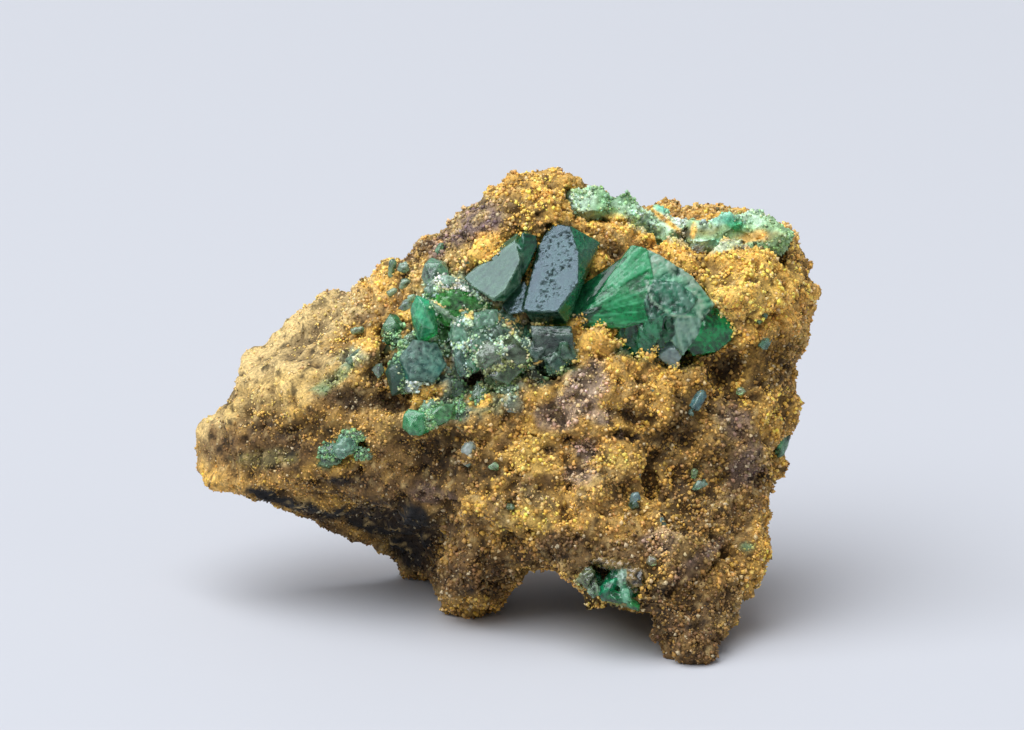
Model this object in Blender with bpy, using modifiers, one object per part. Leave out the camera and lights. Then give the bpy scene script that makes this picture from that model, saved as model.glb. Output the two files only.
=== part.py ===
"""Zincolivenite crystals on a limonite rock, as a hand-sized mineral specimen.

Metres, +Z up, +X to the right and +Y to the back, with the origin at the middle of the base.
The rock is one solid with a socket for each crystal, and each crystal or crystal group stands in its own.

Places are given in millimetres as (across, up, behind): across is to the right, behind is away from the
viewer who looks down on the specimen at LEAN, and up is square to both. "Out" is towards that viewer,
measured from the rock's skin.
"""

import math
import random

import bmesh
import bpy
from mathutils import Matrix, Vector, noise
from mathutils.bvhtree import BVHTree

MM = 0.001
LEAN = math.radians(15.0)
# Crystals and the sockets that hold them both keep this far from their true shared face.
HALF_GAP = 0.15

# The rock's outline as the viewer sees it, clockwise from the left tip.
OUTLINE = (
    (-17.9, 9.0, 3.7), (-17.7, 10.8, 3.9), (-16.6, 12.4, 4.0), (-15.0, 14.7, 4.4), (-13.2, 15.8, 4.5),
    (-12.5, 16.9, 4.6), (-11.2, 17.7, 4.6), (-10.4, 18.8, 4.6), (-8.0, 19.2, 2.8), (-7.2, 20.3, 1.6),
    (-6.2, 21.2, 1.2), (-4.1, 22.2, 0.0), (-3.6, 23.0, -0.4), (-2.4, 23.8, -0.8), (-1.0, 24.5, -1.0),
    (0.0, 25.2, -1.0), (1.4, 25.7, -0.8), (2.7, 25.8, -0.4), (4.2, 24.6, 1.2), (6.5, 24.1, 2.4),
    (8.7, 23.4, 3.4), (10.4, 23.0, 4.2), (11.6, 23.1, 4.2), (12.4, 23.6, 3.8), (14.5, 23.1, 3.0),
    (16.2, 22.4, 2.6), (17.3, 20.8, 1.8), (18.0, 19.2, 1.2), (17.6, 17.2, 1.0), (17.3, 15.4, 1.0),
    (16.8, 13.6, 0.8), (16.8, 11.4, 0.4), (16.1, 10.4, 0.2), (15.9, 8.4, 0.0), (15.0, 6.8, -0.6),
    (14.9, 4.4, -1.6), (14.4, 2.2, -3.4), (13.2, -0.1, -5.6), (11.9, -1.4, -7.4), (11.5, -2.3, -8.6),
    (10.3, -2.4, -8.8), (8.8, -1.2, -8.2), (7.2, 0.7, -7.0), (4.6, 1.2, -6.0), (2.6, 2.4, -4.8),
    (1.2, 2.5, -3.6), (0.2, 1.5, -1.6), (-0.9, 0.2, 0.4), (-2.4, 0.0, 0.5), (-3.8, 0.2, 1.0),
    (-4.3, 1.6, 3.2), (-5.0, 2.5, 5.6), (-6.6, 3.6, 6.6), (-8.6, 4.4, 5.8), (-11.6, 5.6, 4.8),
    (-14.0, 6.6, 4.2), (-16.8, 7.3, 3.8),
)
MIDDLE = Vector((0.7, 0.0, 12.4))
FRONT_REACH, BACK_REACH = -7.2, 9.8
# Below 1 the rock's sections are boxier than an ellipse.
BOXINESS = 0.82

# Swells and hollows of the front face: across, up, reach along, reach over, turn in degrees, height.
FRONT_RELIEF = {
    "crown": (2.0, 23.6, 2.6, 1.6, 10, 1.2),
    "crystal_hollow": (1.6, 19.6, 3.6, 2.4, 30, -1.2),
    "cluster_hollow": (-3.4, 15.4, 3.2, 2.8, 0, -0.9),
    "fan_hollow": (8.6, 17.4, 4.6, 2.8, -25, -0.9),
    "fan_end_recess": (12.8, 14.2, 1.4, 1.1, 60, -1.5),
    "middle_shelf": (5.2, 12.9, 3.4, 1.5, 15, 0.7),
    "right_shoulder": (14.4, 19.2, 3.4, 2.4, 60, 1.5),
    "left_flank": (-12.6, 13.6, 4.4, 2.2, 38, 0.9),
    "left_edge": (-10.2, 7.0, 6.4, 1.4, -8, 1.9),
    "left_undercut": (-8.6, 4.6, 4.8, 1.0, -14, -2.6),
    "knob_recess": (-5.9, 3.4, 1.4, 1.6, 0, -1.8),
    "left_furrow": (-7.8, 12.0, 3.2, 0.7, 25, -0.8),
    "left_patch_hollow": (-9.1, 9.7, 1.3, 0.9, 15, -0.5),
    "low_swell": (-1.4, 7.6, 4.6, 2.0, -8, 1.2),
    "knob": (-2.4, 2.6, 1.7, 2.6, 0, 1.6),
    "knob_furrow": (-1.0, 4.6, 2.6, 0.6, -12, -0.8),
    "foot_keel": (9.0, 2.6, 5.2, 1.3, 40, 1.5),
    "foot_furrow": (12.2, 4.0, 5.0, 0.8, 62, -0.8),
    "middle_pit": (8.2, 7.7, 1.1, 0.6, 80, -1.4),
    "shelf_pit": (6.4, 10.7, 1.4, 0.6, 0, -0.9),
    "right_crack": (15.4, 16.4, 1.8, 0.6, 80, -0.9),
}
# Broken faces of the back: its depth over the rock's middle, and how fast it falls across and up.
BROKEN_FACES = {
    "back_main": (8.6, 0.12, 0.3),
    "back_left": (10.4, -0.62, 0.05),
    "back_right": (12.6, 0.85, -0.1),
    "back_top": (14.2, 0.1, 1.2),
    "back_low": (12.0, -0.2, -0.75),
    "back_left_top": (14.6, -0.8, 0.9),
}
# Lumps of the skin: size of one lump and how far it stands out.
LUMPS = ((5.6, 0.8), (2.8, 0.9), (1.3, 0.4))
# Knobs with creases between them: size of one knob and how far it stands out.
KNOBS = ((3.4, 0.9), (1.7, 0.45))
# Distance from a knob's middle, in knob sizes, at which it is level with the skin.
KNOB_LEVEL = 0.45
# The share of the bulge, front or back, that no hollow or broken face takes away.
THINNEST = 0.35
ROCK_DETAIL = 6
ROCK_GRID = 0.42
ROCK_KEPT = 0.125

# Where the rock meets the floor, in millimetres on the floor: across, back, and reach of each foot in degrees.
FEET = {
    "right_foot": (10.9, -8.9, 6.0),
    "knob": (-2.4, 0.6, 7.0),
    "back_left_foot": (-4.6, 9.3, 10.0),
    "back_right_foot": (8.2, 8.4, 14.0),
}
FOOT_DEPTH = 0.45

# Corners of the faceted crystals: across, up, out. The first pair is where the rock's skin is sounded.
FACETED = {
    "main_crystal": ((3.0, 19.0), (
        (2.6, 22.5, 0.6), (3.7, 22.3, 0.8), (4.1, 20.7, 1.7), (4.1, 19.1, 2.5), (2.9, 17.5, 3.2),
        (1.2, 17.5, 2.9), (0.8, 17.7, 2.7), (1.7, 21.1, 1.1), (2.1, 21.9, 0.8),
        (5.4, 21.4, -0.4), (5.1, 20.8, 0.2), (4.4, 19.7, 1.4), (3.5, 16.8, 1.8), (1.6, 16.6, 1.5),
        (2.2, 18.0, -2.6), (4.2, 18.6, -2.6), (4.4, 21.0, -2.6), (2.6, 21.0, -2.6),
    )),
    "left_prism_crystal": ((0.0, 19.4), (
        (0.4, 21.5, 0.9), (-2.6, 19.4, 0.9), (-2.0, 18.8, 1.5), (-0.8, 18.0, 2.4), (0.0, 18.7, 2.4),
        (0.7, 20.3, 1.8), (0.5, 22.0, 0.2), (1.3, 21.3, 0.0), (1.1, 20.4, 0.8), (0.75, 19.0, 1.3),
        (-0.1, 18.0, 1.8), (-1.6, 19.4, -2.2), (-0.2, 18.4, -2.2), (0.3, 19.2, -2.2), (0.2, 21.0, -2.2),
    )),
    "dark_block_crystal": ((2.6, 15.2), (
        (1.3, 16.2, 0.9), (3.6, 16.2, 1.0), (3.7, 14.4, 0.8), (2.4, 13.7, 0.7), (1.4, 15.0, 0.8),
        (1.6, 15.8, -1.8), (3.4, 15.8, -1.8), (3.4, 14.4, -1.8), (2.2, 14.4, -1.8),
    )),
}
FAN_SOUNDING = (8.6, 17.6)
FAN_PARTS = {
    "left_sheaf": (
        (3.4, 17.1, 1.0), (3.9, 18.6, 0.0), (5.4, 19.6, 0.1), (6.6, 20.5, 0.3), (7.1, 21.3, 0.5),
        (8.2, 21.0, 0.9), (9.0, 18.6, 1.7), (8.8, 17.2, 1.9), (7.9, 15.3, 1.7), (6.9, 14.3, 1.2),
        (6.4, 14.8, 1.1), (4.4, 16.4, 1.1), (5.4, 18.2, 1.2),
        (5.0, 17.6, -2.0), (7.6, 19.6, -2.0), (7.4, 16.0, -2.0),
    ),
    "right_sheaf": (
        (7.4, 20.6, 0.5), (8.2, 21.0, 0.8), (9.6, 20.1, 1.1), (10.6, 19.5, 1.2), (11.3, 18.6, 1.3),
        (11.7, 17.8, 1.3), (11.6, 15.4, 1.6), (10.9, 14.7, 1.6), (9.9, 14.2, 1.4), (9.2, 13.9, 1.1),
        (8.0, 15.6, 1.4), (8.6, 17.4, 2.0),
        (8.4, 19.6, -2.0), (10.6, 18.4, -2.0), (10.6, 15.8, -2.0),
    ),
    "glassy_tip": (
        (10.8, 17.8, 1.3), (12.0, 17.6, 1.1), (13.1, 16.5, 0.4), (12.7, 15.8, 0.6), (12.0, 15.2, 1.0),
        (11.2, 14.9, 1.4), (11.5, 16.6, 2.0), (11.0, 16.8, -1.6), (12.0, 16.2, -1.6), (11.2, 15.6, -1.6),
    ),
}
# Rounded crystals: across, up, out, half sizes (along, over, deep), turn in degrees.
ROUNDED = {
    "green_cluster": (
        (-3.7, 17.6, 0.5, 1.75, 1.35, 1.2, -10), (-4.8, 16.7, 0.6, 0.9, 1.4, 1.1, 10),
        (-4.0, 18.9, 0.3, 0.9, 1.2, 1.0, 0), (-1.4, 16.5, 0.4, 1.7, 1.3, 1.0, 20),
        (-2.7, 14.8, 0.4, 1.2, 1.6, 1.0, 0), (-0.8, 14.4, 0.3, 1.7, 1.6, 1.0, 15),
        (-2.0, 13.1, 0.1, 1.3, 1.0, 0.9, 0),
    ),
    "teal_crystal": ((-5.4, 14.2, 0.3, 1.5, 1.45, 1.0, 0),),
    "lower_left_crystal": ((-4.6, 11.3, 0.3, 1.35, 0.95, 0.9, 30),),
    "left_edge_crystal": ((-6.7, 16.5, 0.1, 0.65, 0.75, 0.6, 0),),
    "green_patch": ((-9.1, 9.7, 0.0, 0.85, 0.65, 0.5, 30), (-9.4, 9.0, -0.1, 0.6, 0.45, 0.4, 0)),
}
ROUNDED_FACES = 14
# The pale crust along the top right edge: knees of its run (across, up, out) and half sizes of its lumps.
VEIN_RUN = ((4.7, 23.6, 0.0), (7.3, 22.9, 0.0), (9.8, 21.9, 0.0), (11.5, 21.7, 0.0), (13.4, 22.5, 0.0),
            (15.0, 21.8, 0.0))
VEIN_LUMPS = 8
VEIN_HALF_SIZES = (1.45, 0.95, 1.2)
VEIN_FACES = 12
# The hollow in the front edge: across, up, out, half sizes (along, over, deep), turn in degrees.
HOLLOW = (5.9, 1.9, -0.2, 1.7, 1.5, 1.9, -15)
HOLLOW_FACES = 20
# The crystals that line the hollow, from its middle: across, up, behind, half size.
HOLLOW_CRYSTALS = ((-0.8, 0.2, 1.3, 0.75), (0.3, 0.5, 1.6, 0.8), (0.1, -0.6, 1.5, 0.75), (1.0, -0.3, 1.2, 0.75))
CRUST_FACES = 10
# Single small crystals grown on the rock: across, up, half size.
STUDS = ((10.9, 12.1, 0.5), (0.2, 12.2, 0.45), (7.2, 6.6, 0.4), (8.7, 5.6, 0.4), (10.9, 7.6, 0.45),
         (-2.1, 9.4, 0.5), (14.8, 15.7, 0.45), (-7.8, 14.6, 0.7))
STUD_FACES = 8

COLLECTION = "zincolivenite_specimen"
MATERIALS = {
    "limonite": ((0.45, 0.27, 0.09), 0.85),
    "olivenite_dark": ((0.01, 0.14, 0.07), 0.12),
    "olivenite_fan": ((0.03, 0.33, 0.17), 0.22),
    "olivenite_green": ((0.07, 0.32, 0.18), 0.2),
    "olivenite_teal": ((0.05, 0.2, 0.19), 0.22),
    "pale_crust": ((0.52, 0.68, 0.5), 0.6),
}
MATERIAL_OF = {
    "matrix": "limonite", "main_crystal": "olivenite_dark", "left_prism_crystal": "olivenite_dark",
    "dark_block_crystal": "olivenite_dark", "fan_crystal": "olivenite_fan", "green_cluster": "olivenite_green",
    "teal_crystal": "olivenite_teal", "lower_left_crystal": "olivenite_green",
    "left_edge_crystal": "olivenite_green", "green_patch": "olivenite_green", "vein_crust": "pale_crust",
    "cavity_crust": "olivenite_dark",
}


def place(across, up, behind):
    """A point in the specimen's own axes, in millimetres: x across, y behind, z up."""
    return Vector((across, behind, up))


def clear_scene():
    for old in list(bpy.data.objects):
        bpy.data.objects.remove(old, do_unlink=True)


def make_collection(name):
    collection = bpy.data.collections.new(name)
    bpy.context.scene.collection.children.link(collection)
    return collection


def make_material(name, colour, roughness):
    material = bpy.data.materials.new(name)
    material.use_nodes = True
    shader = material.node_tree.nodes["Principled BSDF"]
    shader.inputs["Base Color"].default_value = (*colour, 1.0)
    shader.inputs["Roughness"].default_value = roughness
    shader.inputs["Metallic"].default_value = 0.0
    return material


def add_object(name, bm, collection, parent):
    """Turn a solid that is drawn in millimetres into an object in metres."""
    bmesh.ops.scale(bm, vec=(MM, MM, MM), verts=bm.verts)
    bmesh.ops.recalc_face_normals(bm, faces=bm.faces)
    mesh = bpy.data.meshes.new(name)
    bm.to_mesh(mesh)
    bm.free()
    thing = bpy.data.objects.new(name, mesh)
    thing.parent = parent
    collection.objects.link(thing)
    return thing


def add_cutter(name, bm, collection, parent):
    cutter = add_object(name, bm, collection, parent)
    cutter.hide_render = True
    cutter.display_type = "WIRE"
    return cutter


def outline_in_polar():
    """The outline as (angle, radius, behind) round the rock's middle, sorted by angle."""
    rim = []
    for across, up, behind in OUTLINE:
        along, over = across - MIDDLE.x, up - MIDDLE.z
        rim.append((math.atan2(over, along), math.hypot(along, over), behind))
    return sorted(rim)


def rim_at(rim, angle):
    """Radius and depth of the outline at an angle, on the straight edge between its two points there."""
    after = next((i for i, entry in enumerate(rim) if entry[0] > angle), 0)
    (angle_a, radius_a, behind_a), (angle_b, radius_b, behind_b) = rim[after - 1], rim[after]
    span = (angle_b - angle_a) % (2 * math.pi)
    part = (angle - angle_a) % (2 * math.pi)
    weight_a, weight_b = radius_b * math.sin(span - part), radius_a * math.sin(part)
    radius = radius_a * radius_b * math.sin(span) / (weight_a + weight_b)
    share = weight_b / (weight_a + weight_b)
    return radius, behind_a + (behind_b - behind_a) * share


def relief_at(across, up):
    """How far the front stands out at a place, from its named swells and hollows."""
    height = 0.0
    for at_across, at_up, reach_along, reach_over, turn, size in FRONT_RELIEF.values():
        offset = Vector((across - at_across, up - at_up))
        offset.rotate(Matrix.Rotation(-math.radians(turn), 2))
        height += size * math.exp(-(offset.x / reach_along) ** 2 - (offset.y / reach_over) ** 2)
    return height


def broken_at(across, up):
    """How far back the broken faces let the rock reach at a place."""
    return min(depth - fall_across * (across - MIDDLE.x) - fall_up * (up - MIDDLE.z)
               for depth, fall_across, fall_up in BROKEN_FACES.values())


def rock_point(direction, rim):
    """Where the rock's skin lies in one direction from its middle."""
    angle = math.atan2(direction.z, direction.x)
    radius, behind = rim_at(rim, angle)
    level = math.hypot(direction.x, direction.z)
    reach = FRONT_REACH if direction.y < 0 else BACK_REACH
    spread = radius * level ** BOXINESS
    point = MIDDLE + Vector((spread * math.cos(angle), 0.0, spread * math.sin(angle)))
    sheet, bulge = behind * level ** 2, reach * abs(direction.y) ** BOXINESS
    if direction.y < 0:
        point.y = min(sheet + THINNEST * bulge, sheet + bulge - relief_at(point.x, point.z))
    else:
        point.y = max(sheet + THINNEST * bulge, min(sheet + bulge, broken_at(point.x, point.z)))
    outward = (point - MIDDLE).normalized()
    lumpy = 0.0
    for size, height in LUMPS:
        lumpy += height * noise.noise(point / size)
    for size, height in KNOBS:
        nearest = noise.voronoi(point / size)[0][0]
        lumpy += height * (KNOB_LEVEL - nearest)
    return point + outward * lumpy * abs(direction.y)


def floor_point(across, back, height):
    """A point over the floor, in the specimen's own leaning axes."""
    return Matrix.Rotation(LEAN, 3, "X") @ Vector((across, back, height))


def pull_to_feet(bm):
    """Draw the skin down to the floor round each foot."""
    for across, back, reach in FEET.values():
        target = floor_point(across, back, -FOOT_DEPTH)
        aim = (target - MIDDLE).normalized()
        nearest = max(bm.verts, key=lambda vert: (vert.co - MIDDLE).normalized().dot(aim))
        pull = target - nearest.co
        for vert in bm.verts:
            angle = (vert.co - MIDDLE).angle(aim)
            vert.co += pull * math.exp(-(angle / math.radians(reach)) ** 2)


def cut_flat(bm, point, outward):
    """Cut away what lies beyond a plane and close the cut."""
    everything = bm.verts[:] + bm.edges[:] + bm.faces[:]
    cut = bmesh.ops.bisect_plane(bm, geom=everything, plane_co=point, plane_no=outward, clear_outer=True)
    edges = [item for item in cut["geom_cut"] if isinstance(item, bmesh.types.BMEdge)]
    bmesh.ops.holes_fill(bm, edges=edges)


def evened(bm):
    """The same skin on an even grid, then thinned out where it is nearly flat."""
    mesh = bpy.data.meshes.new("rough_rock")
    bm.to_mesh(mesh)
    bm.free()
    rough = bpy.data.objects.new("rough_rock", mesh)
    bpy.context.scene.collection.objects.link(rough)
    grid = rough.modifiers.new("grid", "REMESH")
    grid.mode = "VOXEL"
    grid.voxel_size = ROCK_GRID
    thinned = rough.modifiers.new("thinned", "DECIMATE")
    thinned.ratio = ROCK_KEPT
    thinned.use_collapse_triangulate = True
    result = bmesh.new()
    result.from_object(rough, bpy.context.evaluated_depsgraph_get())
    bpy.data.objects.remove(rough, do_unlink=True)
    return result


def rock_solid():
    """The rock without its sockets, standing on the flats of its feet."""
    rim = outline_in_polar()
    rough = bmesh.new()
    bmesh.ops.create_icosphere(rough, subdivisions=ROCK_DETAIL, radius=1.0)
    for vert in rough.verts:
        vert.co = rock_point(vert.co.normalized(), rim)
    pull_to_feet(rough)
    bm = evened(rough)
    cut_flat(bm, Vector((0, 0, 0)), floor_point(0, 0, -1))
    bmesh.ops.triangulate(bm, faces=bm.faces)
    return bm


class Skin:
    """Soundings of the rock's skin along the viewer's line of sight."""

    START = -40.0

    def __init__(self, bm):
        self.tree = BVHTree.FromBMesh(bm)

    def behind(self, across, up):
        hit = self.tree.ray_cast(place(across, up, self.START), Vector((0, 1, 0)))[0]
        return hit.y


def hull_planes(corners):
    """The flat faces of the solid that spans some corners, as (point, outward) pairs."""
    bm = bmesh.new()
    for corner in corners:
        bm.verts.new(corner)
    bmesh.ops.convex_hull(bm, input=bm.verts)
    bmesh.ops.recalc_face_normals(bm, faces=bm.faces)
    same_way = math.cos(math.radians(7))
    planes = []
    for face in sorted(bm.faces, key=lambda face: -face.calc_area()):
        if all(face.normal.dot(outward) < same_way for _, outward in planes):
            furthest = max(corners, key=lambda corner: corner.dot(face.normal))
            planes.append((furthest.copy(), face.normal.copy()))
    bm.free()
    return planes


def rounded_planes(centre, half_sizes, turn, count, rng):
    """Faces that close round an ellipsoid, spread evenly and a little irregular."""
    turned = Matrix.Rotation(-math.radians(turn), 3, "Y")
    golden = math.pi * (3 - math.sqrt(5))
    planes = []
    for i in range(count):
        rise = 1 - 2 * (i + 0.5) / count
        ring = math.sqrt(1 - rise * rise)
        jitter = Vector([rng.uniform(-0.25, 0.25) for _ in range(3)])
        outward = (Vector((ring * math.cos(golden * i), rise, ring * math.sin(golden * i))) + jitter).normalized()
        reach = Vector(half * part for half, part in zip(half_sizes, outward)).length * rng.uniform(0.86, 1.0)
        planes.append((centre + turned @ (outward * reach), turned @ outward))
    return planes


def solid_from_planes(planes, grow):
    """The closed solid inside some planes, each moved out by a distance."""
    middle = sum((point for point, _ in planes), Vector()) / len(planes)
    bm = bmesh.new()
    bmesh.ops.create_cube(bm, size=30.0, matrix=Matrix.Translation(middle))
    for point, outward in planes:
        cut_flat(bm, point + outward * grow, outward)
    bmesh.ops.dissolve_degenerate(bm, dist=0.01, edges=bm.edges)
    bmesh.ops.triangulate(bm, faces=bm.faces)
    return bm


def faceted_shape(skin, sounding, corners):
    depth = skin.behind(*sounding)
    return hull_planes([place(across, up, depth - out) for across, up, out in corners])


def rounded_shape(skin, lump, rng):
    across, up, out, along, over, deep, turn = lump
    centre = place(across, up, skin.behind(across, up) - out)
    return rounded_planes(centre, (along, deep, over), turn, ROUNDED_FACES, rng)


def point_on_run(run, share):
    """The point at a share of the way along a run of straight stretches."""
    whole = share * (len(run) - 1)
    start = min(int(whole), len(run) - 2)
    return place(*run[start]).lerp(place(*run[start + 1]), whole - start)


def vein_shapes(skin, rng):
    shapes = []
    for i in range(VEIN_LUMPS):
        across, out, up = point_on_run(VEIN_RUN, i / (VEIN_LUMPS - 1))
        centre = place(across, up, skin.behind(across, up) - out)
        sizes = [half * rng.uniform(0.85, 1.1) for half in VEIN_HALF_SIZES]
        shapes.append(rounded_planes(centre, sizes, rng.uniform(-20, 20), VEIN_FACES, rng))
    return shapes


def hollow_middle(skin):
    across, up, out = HOLLOW[:3]
    return place(across, up, skin.behind(across, up) - out)


def crust_shapes(skin, rng):
    """The crystals that line the hollow, close enough to be one crust."""
    shapes = []
    for across, up, behind, half in HOLLOW_CRYSTALS:
        centre = hollow_middle(skin) + place(across, up, behind)
        shapes.append(rounded_planes(centre, (half, half, half), rng.uniform(0, 90), CRUST_FACES, rng))
    return shapes


def crystal_shapes(skin):
    """The planes of every crystal body, listed under the name of its crystal or group."""
    rng = random.Random(11)
    shapes = {name: [faceted_shape(skin, *entry)] for name, entry in FACETED.items()}
    shapes["fan_crystal"] = [faceted_shape(skin, FAN_SOUNDING, part) for part in FAN_PARTS.values()]
    for name, lumps in ROUNDED.items():
        shapes[name] = [rounded_shape(skin, lump, rng) for lump in lumps]
    shapes["vein_crust"] = vein_shapes(skin, rng)
    shapes["cavity_crust"] = crust_shapes(skin, rng)
    return shapes


def add_boolean(thing, operation, operand):
    modifier = thing.modifiers.new(operation.lower(), "BOOLEAN")
    modifier.operation = operation
    modifier.solver = "EXACT"
    if isinstance(operand, bpy.types.Collection):
        modifier.operand_type = "COLLECTION"
        modifier.collection = operand
    else:
        modifier.object = operand


def add_crystal(name, shapes, parts, joined, parent):
    """One crystal, or one group whose bodies are grown together."""
    crystal = add_object(name, solid_from_planes(shapes[0], -HALF_GAP), parts, parent)
    for i, planes in enumerate(shapes[1:], start=2):
        body = solid_from_planes(planes, -HALF_GAP)
        add_boolean(crystal, "UNION", add_cutter(f"{name}_body_{i}", body, joined, parent))
    return crystal


def add_studs(skin, studs, parent):
    rng = random.Random(5)
    for i, (across, up, half) in enumerate(STUDS, start=1):
        centre = place(across, up, skin.behind(across, up))
        planes = rounded_planes(centre, (half, half, half * 1.3), rng.uniform(0, 90), STUD_FACES, rng)
        add_cutter(f"stud_{i}", solid_from_planes(planes, 0.0), studs, parent)


def add_hollow(skin, sockets, parent):
    along, over, deep, turn = HOLLOW[3:]
    planes = rounded_planes(hollow_middle(skin), (along, deep, over), turn, HOLLOW_FACES, random.Random(3))
    add_cutter("front_hollow", solid_from_planes(planes, 0.0), sockets, parent)


def settle(parent, parts):
    """Set the specimen on the floor with the middle of its box over the origin."""
    bpy.context.view_layer.update()
    depsgraph = bpy.context.evaluated_depsgraph_get()
    points = []
    for part in parts.objects:
        shown = part.evaluated_get(depsgraph)
        points += [part.matrix_world @ vert.co for vert in shown.data.vertices]
    lowest = [min(point[axis] for point in points) for axis in range(3)]
    highest = [max(point[axis] for point in points) for axis in range(3)]
    parent.location = (-(lowest[0] + highest[0]) / 2, -(lowest[1] + highest[1]) / 2, -lowest[2])
    bpy.context.view_layer.update()


def build():
    clear_scene()
    parts = make_collection(COLLECTION)
    joined = make_collection("joined_bodies")
    studs = make_collection("studs")
    sockets = make_collection("sockets")
    specimen = bpy.data.objects.new("specimen", None)
    bpy.context.scene.collection.objects.link(specimen)
    specimen.rotation_euler = (-LEAN, 0.0, 0.0)

    rock = rock_solid()
    skin = Skin(rock)
    add_hollow(skin, sockets, specimen)
    shapes = crystal_shapes(skin)
    add_studs(skin, studs, specimen)
    matrix = add_object("matrix", rock, parts, specimen)
    add_boolean(matrix, "UNION", studs)
    for name, bodies in shapes.items():
        add_crystal(name, bodies, parts, joined, specimen)
        for i, planes in enumerate(bodies, start=1):
            add_cutter(f"{name}_socket_{i}", solid_from_planes(planes, HALF_GAP), sockets, specimen)
    add_boolean(matrix, "DIFFERENCE", sockets)

    made = {name: make_material(name, *look) for name, look in MATERIALS.items()}
    for part in parts.objects:
        part.data.materials.append(made[MATERIAL_OF[part.name]])
    settle(specimen, parts)


build()
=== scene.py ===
"""Looks of the zincolivenite specimen: rock, druse, crystals, pale crust, floor, light and camera.

All shapes are worked out in millimetres in the specimen's leaning axes: across to the right, up along the
plane that faces the viewer, and behind, square to it and away from the viewer.
"""

import math

import bmesh
import bpy
import numpy as np
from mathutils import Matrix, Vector, noise
from mathutils.bvhtree import BVHTree
from mathutils.kdtree import KDTree


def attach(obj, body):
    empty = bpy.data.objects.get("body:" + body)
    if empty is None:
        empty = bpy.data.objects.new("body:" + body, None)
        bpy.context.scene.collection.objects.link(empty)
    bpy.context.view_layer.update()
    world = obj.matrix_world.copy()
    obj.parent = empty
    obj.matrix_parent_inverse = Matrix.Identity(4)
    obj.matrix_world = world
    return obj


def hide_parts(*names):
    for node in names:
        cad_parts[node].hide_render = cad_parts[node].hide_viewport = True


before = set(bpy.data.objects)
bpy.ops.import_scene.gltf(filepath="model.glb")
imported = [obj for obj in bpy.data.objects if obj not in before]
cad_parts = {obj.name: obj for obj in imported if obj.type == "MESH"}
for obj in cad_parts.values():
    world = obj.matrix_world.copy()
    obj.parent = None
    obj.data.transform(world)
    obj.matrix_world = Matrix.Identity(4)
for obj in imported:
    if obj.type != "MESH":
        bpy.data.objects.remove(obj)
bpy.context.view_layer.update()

MM = 0.001
LEAN = math.radians(15.0)
ORIGIN = np.array((-0.053, -0.801, 0.0))
AXES = np.array((
    (1.0, 0.0, 0.0),
    (0.0, math.sin(LEAN), math.cos(LEAN)),
    (0.0, math.cos(LEAN), -math.sin(LEAN)),
))
# A crystal's true face is this far out from its CAD solid.
HALF_GAP = 0.15

# Sizes of the working grids, in millimetres.
ROCK_GRID = 0.195
CRYSTAL_GRID = 0.09
CRUST_GRID = 0.12

TONES = {
    "cream": (0.72, 0.51, 0.21),
    "pale_ochre": (0.76, 0.51, 0.17),
    "ochre": (0.70, 0.40, 0.10),
    "orange": (0.92, 0.53, 0.115),
    "yellow": (0.94, 0.60, 0.14),
    "brown": (0.19, 0.10, 0.034),
    "rust": (0.26, 0.14, 0.025),
    "dark_brown": (0.065, 0.035, 0.014),
    "purple_brown": (0.25, 0.17, 0.14),
    "pink_grey": (0.68, 0.48, 0.32),
    "black": (0.016, 0.015, 0.015),
    "olive": (0.24, 0.25, 0.09),
    "green_stain": (0.24, 0.44, 0.22),
    "mint": (0.52, 0.70, 0.50),
    "turquoise": (0.16, 0.50, 0.36),
    "white": (0.80, 0.82, 0.76),
    "emerald": (0.03, 0.36, 0.15),
    "teal": (0.07, 0.25, 0.23),
    "deep_green": (0.012, 0.10, 0.04),
    "grey_green": (0.30, 0.42, 0.32),
}

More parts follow.
